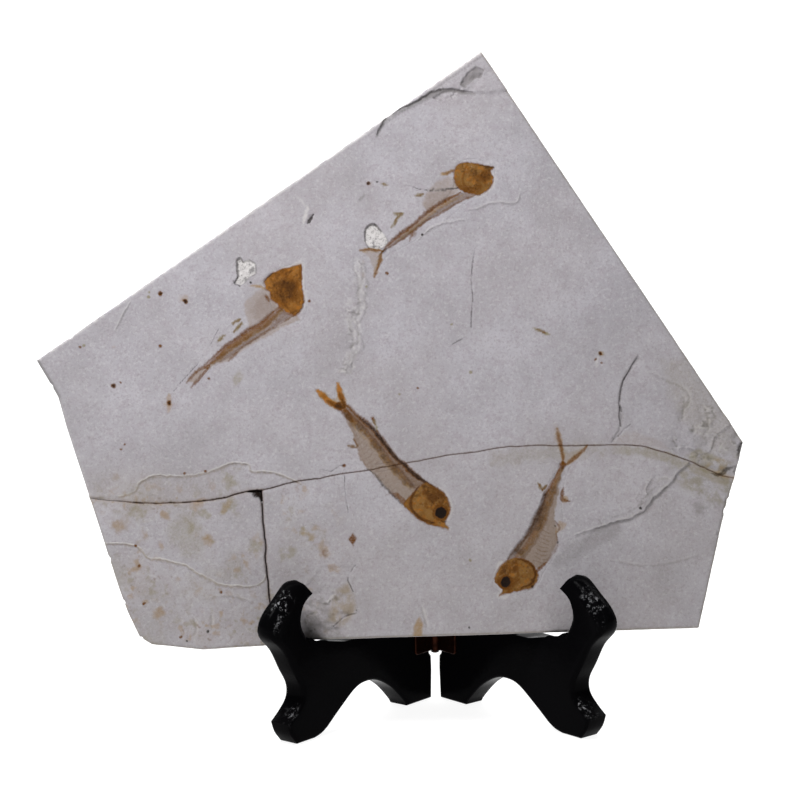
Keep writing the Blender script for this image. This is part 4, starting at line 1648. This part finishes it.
@functools.cache
def lacquer():
    """Gloss black lacquer with faint ripples, and dust and worn spots that catch the light."""
    recipe = Recipe("black_lacquer_worn")
    dust = recipe.spread(recipe.noise(0.9, 4, 0.7), 0.70, 0.8, 0, 0.15)
    colour = recipe.mix(dust, (0.0020, 0.0019, 0.0023), (0.03, 0.028, 0.027))
    flecks = recipe.spread(recipe.noise(1.6, 5, 0.7), 0.53, 0.66)
    scuffs = recipe.combine('MULTIPLY', flecks, recipe.spread(recipe.noise(9, 2, 0.5), 0.42, 0.62))
    scuffs = recipe.combine('MULTIPLY', scuffs, recipe.mask("worn"))
    colour = recipe.mix(scuffs, colour, (0.42, 0.42, 0.44))
    gloss = recipe.spread(recipe.noise(7, 4, 0.6), 0.3, 0.7, 0.10, 0.24)
    recipe.bump([(recipe.noise(12, 3, 0.5), 0.10), (recipe.noise(1.6, 4, 0.65), 0.06)])
    return recipe.finish(colour, gloss, specular=0.009)


@functools.cache
def brass():
    """Dark reddish brass, tarnished in blotches."""
    recipe = Recipe("dull_brass")
    tarnish = recipe.spread(recipe.noise(3, 5, 0.65), 0.35, 0.65)
    colour = recipe.mix(tarnish, (0.040, 0.012, 0.007), (0.015, 0.006, 0.004))
    recipe.bump([(recipe.noise(0.6, 3, 0.6), 0.02)])
    return recipe.finish(colour, recipe.spread(tarnish, 0, 1, 0.35, 0.6), metallic=1.0)


def finish_piece(made, material, node, body):
    """Give a piece its material, its node and its body."""
    made.data.materials.append(material)
    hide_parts(node)
    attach(made, body)


def build_stage():
    """A white light table that curves up into a white wall."""
    profile = [(TABLE_FRONT, 0)]
    for angle in np.radians(np.linspace(0, 90, 13)):
        profile.append((TABLE_BACK + WALL_CURVE * math.sin(angle), WALL_CURVE * (1 - math.cos(angle))))
    profile.append((TABLE_BACK + WALL_CURVE, WALL_HEIGHT))
    verts = [(x, y, z - TABLE_DROP) for y, z in profile for x in (-TABLE_HALF_WIDTH, TABLE_HALF_WIDTH)]
    faces = [(k, k + 1, k + 3, k + 2) for k in range(0, len(verts) - 2, 2)]
    floor = add_mesh("white_table", verts, faces)
    floor.data.shade_smooth()
    recipe = Recipe("white_paper")
    colour = recipe.mix(recipe.noise(60, 2, 0.5), (0.20, 0.20, 0.20), (0.22, 0.22, 0.22))
    recipe.feed(recipe.shader.inputs["Emission Color"], (1.0, 1.0, 1.0))
    recipe.feed(recipe.shader.inputs["Emission Strength"], TABLE_GLOW)
    floor.data.materials.append(recipe.finish(colour, 0.9, specular=0.1))


def add_light(name, place, target, size, power):
    data = bpy.data.lights.new(name, 'AREA')
    data.shape = 'RECTANGLE'
    data.size, data.size_y = size
    data.energy = power
    lamp = bpy.data.objects.new(name, data)
    lamp.location = place
    lamp.rotation_euler = (Vector(target) - Vector(place)).to_track_quat('-Z', 'Y').to_euler()
    bpy.context.scene.collection.objects.link(lamp)


def build_light():
    """A faint even light from all round, and the three lamps."""
    scene = bpy.context.scene
    scene.view_settings.view_transform = 'Standard'
    world = bpy.data.worlds.new("studio")
    world.use_nodes = True
    background = world.node_tree.nodes["Background"]
    background.inputs["Color"].default_value = (1, 1, 1, 1)
    background.inputs["Strength"].default_value = ROOM_GLOW
    scene.world = world
    for light in LIGHTS:
        add_light(*light)


def build_camera():
    """The photograph's viewpoint: in front, a little above, and turned slightly to the left."""
    data = bpy.data.cameras.new("photo")
    data.sensor_width = SENSOR_WIDTH
    data.lens = CAMERA_LENS
    camera = bpy.data.objects.new("photo", data)
    pitch = Matrix.Rotation(math.radians(90 - CAMERA_DOWN), 4, 'X')
    roll = Matrix.Rotation(math.radians(CAMERA_ROLL), 4, 'Z')
    camera.matrix_world = Matrix.Translation(CAMERA_PLACE) @ pitch @ roll
    bpy.context.scene.collection.objects.link(camera)
    bpy.context.scene.camera = camera


def main():
    """Builds all the pieces, and writes down how large the solids and the looks are."""
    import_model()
    for name, outline in slab_outlines().items():
        slab_piece(name, outline)
    for name, fish in FISH.items():
        fish_piece(name, fish)
    build_wing(-1, "left", LEFT_BODY)
    build_wing(1, "right", RIGHT_BODY)
    build_hinge()
    build_stage()
    build_light()
    build_camera()


main()
